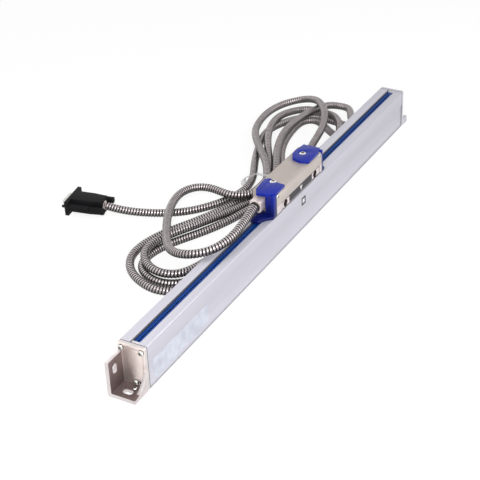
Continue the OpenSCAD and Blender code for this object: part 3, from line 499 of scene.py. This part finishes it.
class Tree(Nodes):
    """A Geometry Nodes tree with named inputs, beginning with its geometry."""

    def __init__(self, name, inputs):
        super().__init__(bpy.data.node_groups.new(name, "GeometryNodeTree"))
        face = self.tree.interface
        face.new_socket("Geometry", in_out="OUTPUT", socket_type="NodeSocketGeometry")
        self.sockets = {label: face.new_socket(label, in_out="INPUT", socket_type=kind)
                        for label, kind in [("Geometry", "NodeSocketGeometry"), *inputs]}
        self.start = self.tree.nodes.new("NodeGroupInput")

    def __getitem__(self, label):
        return Value(self, self.start.outputs[label])

    def named(self, name, kind):
        """An attribute of the geometry."""
        return self.add("GeometryNodeInputNamedAttribute", {"data_type": kind}, {"Name": name})

    def close(self, geometry, material, *others):
        """Ends the tree in real geometry with its material, and with others as (chosen faces, material)."""
        real = self.add("GeometryNodeRealizeInstances", {}, {0: geometry})
        for chosen, look in ((True, material), *others):
            real = self.add("GeometryNodeSetMaterial", {},
                            {"Geometry": real, "Selection": chosen, "Material": look})
        self.add("NodeGroupOutput", {}, {0: real})

    def run(self, base, values):
        """The mesh that this tree makes from an object, which is then removed."""
        modifier = base.modifiers.new("build", "NODES")
        modifier.node_group = self.tree
        for label, value in values.items():
            modifier[self.sockets[label].identifier] = value
        return baked(base)


# ---- The lead ----

# Points that steer the lead, in millimetres, from the gland to the plug
ROUTE = [
    (-76, 1, 55), (-104, 0, 52.5), (-127, 10, 49),
    (-136, 32, 45), (-121, 57, 36), (-93, 77, 28), (-55, 101, 21), (-20, 117, 17), (8, 123, 15),
    (29, 115, 13), (32, 96, 13), (27, 76, 13), (36, 58, 13.2), (58, 52, 13.5), (84, 62, 13.2),
    (112, 79, 12.8), (140, 103, 12.8), (168, 122, 10), (198, 135, 4.3), (232, 140, 4.3),
    (262, 132, 4.3), (275, 115, 7), (264, 97, 15.5), (245, 78, 24), (226, 62, 21.5),
    (200, 53, 15.5), (166, 49, 12.8), (128, 41.5, 8), (90, 36.4, 4.3), (-50, 36.4, 4.3),
    (-92, 36.8, 10.5), (-121, 43, 12.8), (-130, 62, 12.8), (-122, 83, 12.8), (-102, 98, 12.8),
    (-76, 96, 12.8), (-46, 81, 12.8), (-12, 69, 9.5), (30, 58.5, 4.5), (80, 53.7, 4.3),
    (112, 66, 12.2), (140, 79, 12.9), (174, 90, 12.8), (208, 92, 12.8), (238, 86, 13.5),
    (257, 77, 14), (275, 72, 7.5), (280, 58, 4.6), (262, 47, 8.5), (240, 36, 12.8),
    (220, 26, 12.8), (198, 21.3, 12), (174, 19.9, 5), (60, 19.4, 4.3), (-90, 19.5, 4.3),
    (-127, 28, 4.3), (-145, 50, 4.3), (-142, 74, 4.3), (-129, 97, 4.3), (-107, 112, 4.3),
    (-80, 113, 4.3), (-50, 104, 4.3), (-12, 84, 4.3), (36, 67.5, 4.3), (80, 62.3, 4.3),
    (112, 73, 5), (140, 91, 10.3), (172, 107, 12.8), (206, 115.5, 12.6), (240, 115, 6),
    (258, 102, 4.3), (258, 86, 4.3), (252, 71, 7), (238, 55, 12.8), (222, 42, 12.8),
    (200, 33, 12), (176, 28.7, 5.5), (60, 27.95, 4.3), (-80, 27.95, 4.3), (-115, 35, 4.3),
    (-132, 53, 4.3), (-131, 74, 4.3), (-119, 92, 4.3), (-96, 98, 4.3), (-66, 89, 4.3),
    (-30, 68, 4.3), (20, 51, 4.3), (80, 45, 4.3), (112, 58.5, 4.3), (146, 78, 4.3),
    (180, 89, 4.3), (210, 92.5, 4.3), (228, 91, 4.3), (236, 79, 4.3), (226, 63, 4.3),
    (211, 45, 4.3), (209, 28, 4.3), (222, 18.8, 4.3), (236, 27, 4.3), (239, 46, 4.3),
    (243, 68, 4.3), (244, 89, 4.3), (220, 108, 4.3), (190, 118, 4.3), (160, 111, 4.3),
    (134, 102, 4.3), (106, 90, 4.3), (78, 77, 4.3), (48, 75.5, 4.3), (16, 88, 4.3),
    (-12, 111, 4.3), (-28, 143, 4.3), (-35.5, 168, 5.5), (-38.4, 187.4, 7.75),
]


def lead_exit():
    """The middle of the gland's outer face, where the lead starts."""
    nut_low, nut_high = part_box("gland_nut")
    middle = (nut_low + nut_high) / 2
    return Vector((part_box("gland_body")[0].x, middle.y, middle.z))


def lead_line(radius, steps):
    """Points along the lead's middle: a smooth spline that the route steers, never lower than its radius."""
    pull, spacing = 0.1, 2.5  # how far the route is overdrawn at a bend, and millimetres between two points
    route = [lead_exit() / MM] + [Vector(p) for p in ROUTE]
    last = len(route) - 1
    guide = [route[0]]
    for i in range(1, last):
        bulge = route[i - 1] - 2 * route[i] + route[i + 1]
        point = route[i] - pull * bulge
        point.z = max(point.z, radius)
        guide.append(point)
    guide.append(route[last])
    guide = [2 * guide[0] - guide[1], *guide, 2 * guide[-1] - guide[-2]]
    points = []
    for i in range(1, last + 1):
        a, b, c, d = guide[i - 1:i + 3]
        count = max(steps, round((c - b).length / spacing))
        for k in range(count):
            t = k / count
            points.append(((1 - t) ** 3 * a + (3 * t ** 3 - 6 * t * t + 4) * b
                           + (-3 * t ** 3 + 3 * t * t + 3 * t + 1) * c + t ** 3 * d) / 6)
    points.append(route[last])
    return [p * MM for p in points]


def line_length(points):
    """How long the line through points is."""
    return sum((b - a).length for a, b in zip(points, points[1:]))


def armour_tree():
    """Winds a ridged tube round a curve: one helical row of rings, closed along its seam."""
    tree = Tree("interlocked_armour", [
        ("Rings", "NodeSocketInt"), ("Sides", "NodeSocketInt"), ("Radius", "NodeSocketFloat"),
        ("Groove Depth", "NodeSocketFloat"), ("Rings per Turn", "NodeSocketInt"),
        ("Length", "NodeSocketFloat"), ("Armour Material", "NodeSocketMaterial")])
    rings, per_turn = tree["Rings"], tree["Rings per Turn"]
    grid = tree.add("GeometryNodeMeshGrid", {}, {"Size X": 1.0, "Size Y": 1.0,
                                                 "Vertices X": rings, "Vertices Y": tree["Sides"] + 1.0})
    place = tree.add("GeometryNodeInputPosition")
    x, y = tree.add("ShaderNodeSeparateXYZ", {}, {0: place}, ("X", "Y"))
    ring, around = tree.math("ROUND", (x + 0.5) * (rings - 1.0)), y + 0.5
    step = tree["Length"] / (rings + (per_turn - 1.0))
    crown = tree.math("SINE", tree.math("FRACT", ring / per_turn) * math.pi) ** 0.6
    radius = tree["Radius"] - tree["Groove Depth"] * (1.0 - crown)
    along = step * (ring + around * per_turn)
    middle, tangent, normal = tree.add(
        "GeometryNodeSampleCurve", {"mode": "LENGTH"}, {"Curves": tree["Geometry"], "Length": along},
        ("Position", "Tangent", "Normal"))
    across, angle = tree.vector("CROSS_PRODUCT", normal, tangent), around * (2 * math.pi)

    def spoke(direction, length):
        return tree.add("ShaderNodeVectorMath", {"operation": "SCALE"}, {0: direction, "Scale": length})

    out = tree.vector("ADD", spoke(normal, radius * tree.math("COSINE", angle)),
                      spoke(across, radius * tree.math("SINE", angle)))
    upward = tree.add("ShaderNodeSeparateXYZ", {}, {0: tree.vector("NORMALIZE", out)}, "Z")
    kept = grid
    # crown and upward are kept on the mesh for the armour's finish: crown sets its roughness, and both set
    # painted shade in the grooves and on the underside
    for name, value in (("crown", crown), ("upward", upward)):
        kept = tree.add("GeometryNodeStoreNamedAttribute", {"data_type": "FLOAT", "domain": "POINT"},
                        {"Geometry": kept, "Name": name, "Value": value})
    placed = tree.add("GeometryNodeSetPosition", {},
                      {"Geometry": kept, "Position": tree.vector("ADD", middle, out)})
    joined = tree.add("GeometryNodeMergeByDistance", {}, {"Geometry": placed, "Distance": JOIN})
    tree.close(tree.add("GeometryNodeSetShadeSmooth", {}, {"Geometry": joined}), tree["Armour Material"])
    return tree


def closed_ends(mesh):
    """Fills the open ends of a tube and turns its faces outwards."""
    bm = bmesh.new()
    bm.from_mesh(mesh)
    bmesh.ops.holes_fill(bm, edges=[e for e in bm.edges if e.is_boundary], sides=0)
    bmesh.ops.recalc_face_normals(bm, faces=bm.faces)
    bm.to_mesh(mesh)
    bm.free()


class GLASSSCALE_OT_lead(bpy.types.Operator):
    """Winds the armoured lead along its route, from the gland to the plug"""

    bl_idname = "glassscale.lead"
    bl_label = "Armoured Lead"

    def execute(self, context):
        sizes = context.scene.scale_lead
        points = lead_line(sizes.diameter / MM / 2, sizes.route_steps)
        curve = bpy.data.curves.new("lead_line", "CURVE")
        curve.dimensions = "3D"
        spline = curve.splines.new("POLY")
        spline.points.add(len(points) - 1)
        for knot, point in zip(spline.points, points):
            knot.co = (*point, 1.0)
        base = bpy.data.objects.new("lead_line", curve)
        context.scene.collection.objects.link(base)
        whole = line_length(points)
        rings_per_turn = 5
        mesh = armour_tree().run(base, {
            "Rings": round(whole / sizes.turn_pitch * rings_per_turn), "Sides": sizes.sides,
            "Radius": sizes.diameter / 2, "Groove Depth": sizes.groove_depth,
            "Rings per Turn": rings_per_turn, "Length": whole, "Armour Material": finish("armour")})
        closed_ends(mesh)
        new_piece("lead_armour", mesh, HEAD, "armour_steel", "cable")
        return {"FINISHED"}


# ---- Screws ----

def screw_head_mesh():
    """A domed pan head of unit radius and height, standing on +Z, with a cross recess."""
    bm = bmesh.new()
    dark = bm.faces.layers.bool.new("dark")
    sides, arm, reach = 32, 0.17, 0.66
    around = [(math.cos(2 * math.pi * i / sides), math.sin(2 * math.pi * i / sides)) for i in range(sides)]
    dome = ((1.0, 0.0), (1.0, 0.42), (0.94, 0.68), (0.8, 0.88), (0.6, 0.98))
    rings = [[bm.verts.new((radius * x, radius * y, height)) for x, y in around] for radius, height in dome]
    for low, high in zip(rings, rings[1:]):
        for i in range(sides):
            bm.faces.new((low[i], low[(i + 1) % sides], high[(i + 1) % sides], high[i]))
    bm.faces.new(list(reversed(rings[0])))
    # outline of the recess, a cross with its arms along X and Y
    cross = []
    for turn in range(4):
        spin = Matrix.Rotation(math.pi / 2 * turn, 3, "Z")
        cross += [spin @ Vector(p) for p in ((reach * 0.86, -arm, 0), (reach * 0.86, arm, 0), (arm, arm, 0))]
    top = [bm.verts.new((p.x, p.y, 1.0)) for p in cross]
    floor = [bm.verts.new((p.x * 0.55, p.y * 0.55, 0.35)) for p in cross]
    count = len(cross)
    recess = [bm.faces.new((top[(i + 1) % count], top[i], floor[i], floor[(i + 1) % count]))
              for i in range(count)]
    recess.append(bm.faces.new(list(reversed(floor))))
    rim = [bm.edges.get((rings[-1][i], rings[-1][(i + 1) % sides])) for i in range(sides)]
    lip = [bm.edges.get((top[i], top[(i + 1) % count])) for i in range(count)]
    bmesh.ops.triangle_fill(bm, edges=rim + lip, use_beauty=True)
    bmesh.ops.recalc_face_normals(bm, faces=bm.faces)
    # painted shade: the recess and the lowest ring, under the dome, are dark
    for face in bm.faces:
        face[dark] = face in recess or max(v.co.z for v in face.verts) < 0.5
    mesh = bpy.data.meshes.new("screw_head")
    bm.to_mesh(mesh)
    bm.free()
    smooth_by_angle(mesh, 35.0)
    return mesh


def head_tree():
    """Stands a head on each point, turned along its axis and sized by its radius and height."""
    tree = Tree("screw_heads", [
        ("Head Form", "NodeSocketObject"), ("Turn Seed", "NodeSocketInt"),
        ("Head Material", "NodeSocketMaterial"), ("Recess Material", "NodeSocketMaterial")])
    form = tree.add("GeometryNodeObjectInfo", {"transform_space": "ORIGINAL"},
                    {"Object": tree["Head Form"]}, "Geometry")
    aim = tree.add("FunctionNodeAlignRotationToVector", {"axis": "Z"},
                   {"Vector": tree.named("axis", "FLOAT_VECTOR")})
    spin = tree.add("FunctionNodeRandomValue", {"data_type": "FLOAT"},
                    {2: 0.0, 3: math.pi, "Seed": tree["Turn Seed"]}, 1)
    turned = tree.add("FunctionNodeRotateRotation", {"rotation_space": "LOCAL"}, {
        0: aim, 1: tree.add("FunctionNodeAxisAngleToRotation", {}, {"Axis": (0, 0, 1), "Angle": spin})})
    points = tree.add("GeometryNodeMeshToPoints", {}, {"Mesh": tree["Geometry"]})
    placed = tree.add("GeometryNodeInstanceOnPoints", {}, {
        "Points": points, "Instance": form, "Rotation": turned, "Scale": tree.named("size", "FLOAT_VECTOR")})
    tree.close(placed, tree["Head Material"], (tree.named("dark", "BOOLEAN"), tree["Recess Material"]))
    return tree


def screw_points(node, axis, head_height):
    """For each screw of a CAD node that lies along axis: its head's seat, axis and size."""
    found = []
    a = [abs(v) for v in axis].index(1)
    for low, high in solids(node):
        half = (high - low) / 2
        across = [half[i] for i in range(3) if i != a]
        radius = max(across)
        if radius > 1.05 * min(across):  # not round about this axis, so it lies along another
            continue
        seat = (low + high) / 2
        seat[a] = (high[a] - head_height * MM) if axis[a] > 0 else (low[a] + head_height * MM)
        found.append((seat, axis, (radius, radius, head_height * MM)))
    return found


class GLASSSCALE_OT_screws(bpy.types.Operator):
    """Puts domed cross-recess heads on the screws of the end caps, head and plug"""

    bl_idname = "glassscale.screws"
    bl_label = "Screw Heads"

    def execute(self, context):
        form = bpy.data.objects.new("screw_head_form", screw_head_mesh())
        context.scene.collection.objects.link(form)
        tree = head_tree()
        # each piece's body and rows: the CAD node, the way its screws face, the head's height in millimetres
        groups = {
            "end_screw_heads_near": (ROOT, [("end_screws_near", (-1, 0, 0), 1.9)]),
            "end_screw_heads_far": (ROOT, [("end_screws_far", (1, 0, 0), 1.9)]),
            "ground_screw_head": (ROOT, [("ground_screw", (0, 0, 1), 1.6)]),
            "corner_screw_heads": (HEAD, [("corner_screws", (0, 0, 1), 1.4),
                                          ("corner_screws", (0, -1, 0), 1.1)]),
            "bracket_screw_heads": (HEAD, [("bracket_screws", (0, 0, 1), 2.0)]),
            "plug_screw_heads": (HEAD, [("plug_screws", (0, 0, -1), 0.9)]),
            "blade_screw_heads": (HEAD, [("blade_screws", (0, 0, 1), 1.2)]),
        }
        for number, (name, (body, rows)) in enumerate(groups.items()):
            found = [p for node, axis, height in rows for p in screw_points(node, axis, height)]
            mesh = bpy.data.meshes.new(name)
            mesh.from_pydata([p[0] for p in found], [], [])
            for label, column in (("axis", 1), ("size", 2)):
                data = mesh.attributes.new(label, "FLOAT_VECTOR", "POINT")
                data.data.foreach_set("vector", [v for p in found for v in p[column]])
            base = bpy.data.objects.new(name + "_points", mesh)
            context.scene.collection.objects.link(base)
            made = tree.run(base, {"Head Form": form, "Turn Seed": number + 3,
                                   "Head Material": finish("screw"), "Recess Material": finish("recess")})
            made.name = name
            if not made.polygons:
                raise RuntimeError(f"{name} came out empty")
            nodes = sorted({node for node, _, _ in rows})
            new_piece(name, made, body, "screw_steel", *nodes)
        bpy.data.objects.remove(form)
        return {"FINISHED"}


# ---- The rest of the pieces ----

class GLASSSCALE_OT_housing(bpy.types.Operator):
    """Finishes the extruded housing, its seal lips, slot plugs and gaskets"""

    bl_idname = "glassscale.housing"
    bl_label = "Housing and Seals"

    def execute(self, context):
        eased("housing", "housing", "housing_metal", 0.35)
        refinished("lip_front", "lip")
        refinished("lip_back", "lip")
        for node in ("slot_plug_near", "slot_plug_far"):
            eased(node, "white", "white_plastic", 0.3)
        for node in ("gasket_near", "gasket_far"):
            refinished(node, "gasket")
        self.label()
        return {"FINISHED"}

    def label(self):
        """A bare plate with round corners, in the sunk field on the front."""
        size, corner = Vector((0.092, 0.0002, 0.02)), 0.0015
        place = Vector((-0.216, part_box("housing")[0].y + 0.0003, 0.016))
        bm = bmesh.new()
        bmesh.ops.create_cube(bm, size=1.0)
        bmesh.ops.scale(bm, vec=size, verts=bm.verts)
        bmesh.ops.translate(bm, vec=place, verts=bm.verts)
        through = [e for e in bm.edges if abs(e.verts[0].co.y - e.verts[1].co.y) > size.y / 2]
        bmesh.ops.bevel(bm, geom=through, offset=corner, segments=4, affect="EDGES", profile=0.5)
        plate = bpy.data.meshes.new("bare_label")
        bm.to_mesh(plate)
        bm.free()
        plate.materials.append(finish("label"))
        new_piece("bare_label", plate, ROOT, "housing_metal")


class GLASSSCALE_OT_end_caps(bpy.types.Operator):
    """Finishes both end caps and the plugs in their air ports"""

    bl_idname = "glassscale.end_caps"
    bl_label = "End Caps"

    def execute(self, context):
        near = eased("end_cap_near", "caps", "cap_metal", 0.35, "cap_edge")
        eased("end_cap_far", "far_caps", "cap_metal", 0.35, "cap_edge")
        # painted shade: the inner faces of the two mounting walls, up to 5 mm thick, are darker and duller
        # than the plate
        back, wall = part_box("end_cap_near")[1].y / MM, 5
        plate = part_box("gasket_near")[0].x / MM - 3.6
        tinted(near, "cap_pocket", lambda p, n: p.x < plate and (
            (n.y < -FACING and back - wall < p.y < back - 1) or (n.z > FACING and 1 < p.z < wall)))
        # painted light: the plate's outer face takes a brighter copy of the casting, with painted shade in
        # its corner
        tinted(near, "cap_plate", lambda p, n: n.x < -FACING and abs(p.x - plate) < 0.3)
        refinished("air_plugs", "recess")
        return {"FINISHED"}


class GLASSSCALE_OT_head(bpy.types.Operator):
    """Finishes the reading head's block, base plate, front strip and index mark"""

    bl_idname = "glassscale.head"
    bl_label = "Reading Head"

    def holes(self):
        """The middles of the head's two mounting holes, in millimetres."""
        mount = next(m for m in frame["record"]["mounts"] if m["name"] == "head_screw_holes")
        middle, half = Vector(mount["pos_m"]) / MM, mount["dims"]["spacing_x_mm"] / 2
        return [middle + Vector((side * half, 0, 0)) for side in (-1, 1)]

    def execute(self, context):
        block = eased("head_block", "head", "head_metal", 0.3, "head_edge")
        _, front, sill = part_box("head_block")[0] / MM
        bore = 4.2
        tinted(block, "head_front", lambda p, n: n.y < -FACING and p.y < front + 0.3)
        tinted(block, "head_panel", lambda p, n: n.y < -FACING and front + 0.5 < p.y < front + 1.2)
        # painted shade on the underside of the ledge over the sunk panel, and on the inside of the two holes
        tinted(block, "bore", lambda p, n: n.z < -FACING and p.y < front + 1 and p.z > sill + 5)
        for hole in self.holes():
            tinted(block, "bore", lambda p, n: p.y > front + 1.3 and (p - hole).xz.length < bore)
        eased("base_plate", "blade", "blade_steel", 0.15)
        refinished("front_strip", "strip")
        refinished("index_mark", "mark")
        return {"FINISHED"}


class GLASSSCALE_OT_brackets(bpy.types.Operator):
    """Finishes the two blue transport brackets"""

    bl_idname = "glassscale.brackets"
    bl_label = "Transport Brackets"

    def execute(self, context):
        for node in ("bracket_near", "bracket_far"):
            eased(node, "bracket", "bracket_blue", 0.7, segments=3)
        return {"FINISHED"}


class GLASSSCALE_OT_gland(bpy.types.Operator):
    """Finishes the square gland and the nut behind it"""

    bl_idname = "glassscale.gland"
    bl_label = "Gland"

    def execute(self, context):
        gland = eased("gland_body", "gland", "gland_nickel", 0.3)
        mouth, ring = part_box("gland_body")[0].x / MM, 1.15
        tinted(gland, "recess", lambda p, n: p.x < mouth + ring)
        refinished("gland_nut", "gland")
        return {"FINISHED"}


class GLASSSCALE_OT_plug(bpy.types.Operator):
    bl_idname = "glassscale.plug"
    bl_label = "Plug and Tie"

    def execute(self, context):
        hood = [eased(node, "hood", "hood_black", 0.6, segments=3)
                for node in ("plug_hood_lower", "plug_hood_upper")]
        for node in ("thumbscrew_left", "thumbscrew_right"):
            eased(node, "hood", "hood_black", 0.12)
        tie = eased("cable_tie", "tie", "white_plastic", 0.35)
        refinished("plug_collar", "gland")
        refinished("plug_shell", "shell")
        refinished("plug_insulator", "hood")
        refinished("plug_pins", "pin")
        sizes = context.scene.scale_lead
        points = lead_line(sizes.diameter / MM / 2, sizes.route_steps)
        return {"FINISHED"}


class GLASSSCALE_OT_scanning(bpy.types.Operator):
    """Finishes the glass scale and the scanning parts inside the housing and head"""

    bl_idname = "glassscale.scanning"
    bl_label = "Scanning Parts"

    def execute(self, context):
        looks = {"glass": ("glass_scale", "index_grating", "lens"), "gasket": ("glass_bond",),
                 "blade": ("blade", "coupling_wire"), "carriage": ("carriage",),
                 "roller": ("roller_pins", "roller_edge_near", "roller_edge_far", "roller_face_near",
                            "roller_face_far", "roller_face_low"),
                 "board": ("photocell_board", "head_board"), "brass": ("board_posts",), "white": ("lamp",)}
        for key, nodes in looks.items():
            for node in nodes:
                refinished(node, key)
        return {"FINISHED"}


# ---- Stage ----

def seen_directly(nodes):
    """1 for what the camera sees straight, in a mirror or through glass, and 0 for other light."""
    straight, mirrored, through = nodes.add("ShaderNodeLightPath", {}, {}, (
        "Is Camera Ray", "Is Glossy Ray", "Is Transmission Ray"))
    return nodes.math("MAXIMUM", nodes.math("MAXIMUM", straight, mirrored), through)


class GLASSSCALE_OT_stage(bpy.types.Operator):
    """Sets up the camera, the lamps, the world and the floor"""

    bl_idname = "glassscale.stage"
    bl_label = "Stage"

    def execute(self, context):
        scene, stage = context.scene, context.scene.scale_stage
        camera = bpy.data.cameras.new("camera")
        camera.lens, camera.sensor_width = stage.lens, 36.0
        camera.clip_start, camera.clip_end = 0.05, 20.0
        holder = bpy.data.objects.new("camera", camera)
        right = Vector((0.4826, -0.875, -0.0389))
        up = Vector((0.4739, 0.2235, 0.8517))
        ahead = Vector((0.7365, 0.4295, -0.5226))
        turn = Matrix((right, up, -ahead)).transposed().to_4x4()
        holder.matrix_world = Matrix.Translation(stage.eye) @ turn
        scene.collection.objects.link(holder)
        scene.camera = holder

        def lamp(name, place, power, size):
            light = bpy.data.lights.new(name, "AREA")
            light.energy, light.size = power, size
            body = bpy.data.objects.new(name, light)
            body.location = place
            body.rotation_euler = (Vector((0, 0.03, 0)) - Vector(place)).to_track_quat("-Z", "Y").to_euler()
            scene.collection.objects.link(body)

        lamp("key_lamp", (-0.9, -0.45, 0.85), stage.key_power, 0.6)
        lamp("fill_lamp", (0.3, -1.3, 0.8), stage.fill_power, 0.9)
        lamp("back_lamp", (0.3, 1.4, 1.0), stage.back_power, 0.9)

        world = bpy.data.worlds.new("plain_room")
        room = Nodes(emptied(world))
        level = seen_directly(room) * (1.0 - stage.room_level) + stage.room_level
        glow = room.add("ShaderNodeBackground", {}, {"Color": (1.0, 1.0, 1.0, 1.0), "Strength": level})
        room.add("ShaderNodeOutputWorld", {}, {0: glow})
        scene.world = world
        scene.view_settings.view_transform = "Standard"

        bm = bmesh.new()
        bmesh.ops.create_grid(bm, x_segments=1, y_segments=1, size=6.0)
        mesh = bpy.data.meshes.new("floor")
        bm.to_mesh(mesh)
        bm.free()
        floor = bpy.data.objects.new("floor", mesh)
        floor.location.z = -0.0002
        scene.collection.objects.link(floor)
        # the paper's own tone keeps the shadow, and its glow makes it white where it is seen directly
        tone, glow_always, glow_seen = 0.22, 0.36, 0.49
        paper = bpy.data.materials.new("white_paper_sweep")
        sweep = Nodes(emptied(paper))
        matt = sweep.add("ShaderNodeBsdfDiffuse", {}, {"Color": (tone, tone, tone, 1.0)})
        level = seen_directly(sweep) * glow_seen + glow_always
        glow = sweep.add("ShaderNodeEmission", {}, {"Strength": level})
        both = sweep.add("ShaderNodeAddShader", {}, {0: matt, 1: glow})
        sweep.add("ShaderNodeOutputMaterial", {}, {0: both})
        mesh.materials.append(paper)
        return {"FINISHED"}


# ---- Settings ----

def colour_setting(name, description, default):
    """A colour that a user may change."""
    return bpy.props.FloatVectorProperty(name=name, description=description, subtype="COLOR", size=3,
                                         min=0.0, max=1.0, default=default)


def number_setting(unit, name, description, default, least=0.0):
    """A length, power or focal length that a user may change."""
    return bpy.props.FloatProperty(name=name, description=description, unit=unit, min=least, default=default)


class ScaleLooks(bpy.types.PropertyGroup):
    """Colours of the main finishes"""

    housing: colour_setting("Housing", "Colour of the satin extrusion", (0.63, 0.62, 0.69))
    caps: colour_setting("End Caps", "Colour of the plated end caps", (0.68, 0.63, 0.625))
    head: colour_setting("Reading Head", "Colour of the head's paint", (0.50, 0.44, 0.41))
    brackets: colour_setting("Brackets", "Colour of the transport brackets", (0.005, 0.02, 0.33))
    lips: colour_setting("Seal Lips", "Colour of the seal lips", (0.001, 0.05, 0.27))
    armour: colour_setting("Armour", "Colour of the lead's steel armour", (0.57, 0.515, 0.52))


class ScaleLead(bpy.types.PropertyGroup):
    """Sizes of the armoured lead"""

    diameter: number_setting("LENGTH", "Diameter", "Outside diameter of the armour", 0.0085)
    turn_pitch: number_setting("LENGTH", "Turn Pitch", "Distance between two turns of the armour", 0.003)
    groove_depth: number_setting("LENGTH", "Groove Depth", "Depth of the groove between two turns", 0.0007)
    sides: bpy.props.IntProperty(name="Sides", description="Faces round the lead", default=12, min=8, max=24)
    route_steps: bpy.props.IntProperty(name="Route Steps", description="Points between two route points",
                                       default=8, min=2, max=20)


class ScaleStage(bpy.types.PropertyGroup):
    """Camera and light levels"""

    eye: bpy.props.FloatVectorProperty(name="Eye", description="Place of the camera", subtype="TRANSLATION",
                                       size=3, default=(-0.97443, -0.51813, 0.67176))
    lens: number_setting("CAMERA", "Lens", "Focal length of the camera", 96.96, 20.0)
    key_power: number_setting("POWER", "Key Power", "Power of the key lamp", 12.5)
    fill_power: number_setting("POWER", "Fill Power", "Power of the fill lamp", 8.0)
    back_power: number_setting("POWER", "Back Power", "Power of the back lamp", 2.5)
    room_level: bpy.props.FloatProperty(name="Room Level", description="Light level of the plain room",
                                        default=0.28, min=0.0, max=1.0)


STEPS = (GLASSSCALE_OT_stage, GLASSSCALE_OT_lead, GLASSSCALE_OT_housing, GLASSSCALE_OT_end_caps,
         GLASSSCALE_OT_screws, GLASSSCALE_OT_head, GLASSSCALE_OT_brackets, GLASSSCALE_OT_gland,
         GLASSSCALE_OT_scanning, GLASSSCALE_OT_plug)
GROUPS = {"scale_looks": ScaleLooks, "scale_lead": ScaleLead, "scale_stage": ScaleStage}


class GLASSSCALE_PT_panel(bpy.types.Panel):
    """Lists the steps and settings of the glass scale's finish"""

    bl_idname = "GLASSSCALE_PT_panel"
    bl_label = "Glass Scale"
    bl_space_type = "VIEW_3D"
    bl_region_type = "UI"
    bl_category = "Glass Scale"

    def draw(self, context):
        for step in STEPS:
            self.layout.operator(step.bl_idname)
        for name, group in GROUPS.items():
            box = self.layout.box()
            for field in group.__annotations__:
                box.prop(getattr(context.scene, name), field)


def register():
    for item in (*GROUPS.values(), *STEPS, GLASSSCALE_PT_panel):
        bpy.utils.register_class(item)
    for name, group in GROUPS.items():
        setattr(bpy.types.Scene, name, bpy.props.PointerProperty(type=group))


def unregister():
    for name in GROUPS:
        delattr(bpy.types.Scene, name)
    for item in (GLASSSCALE_PT_panel, *reversed(STEPS), *GROUPS.values()):
        bpy.utils.unregister_class(item)


def main():
    """Registers the classes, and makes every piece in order."""
    register()
    for step in STEPS:
        family, name = step.bl_idname.split(".")
        getattr(getattr(bpy.ops, family), name)()


if __name__ == "__main__":
    main()
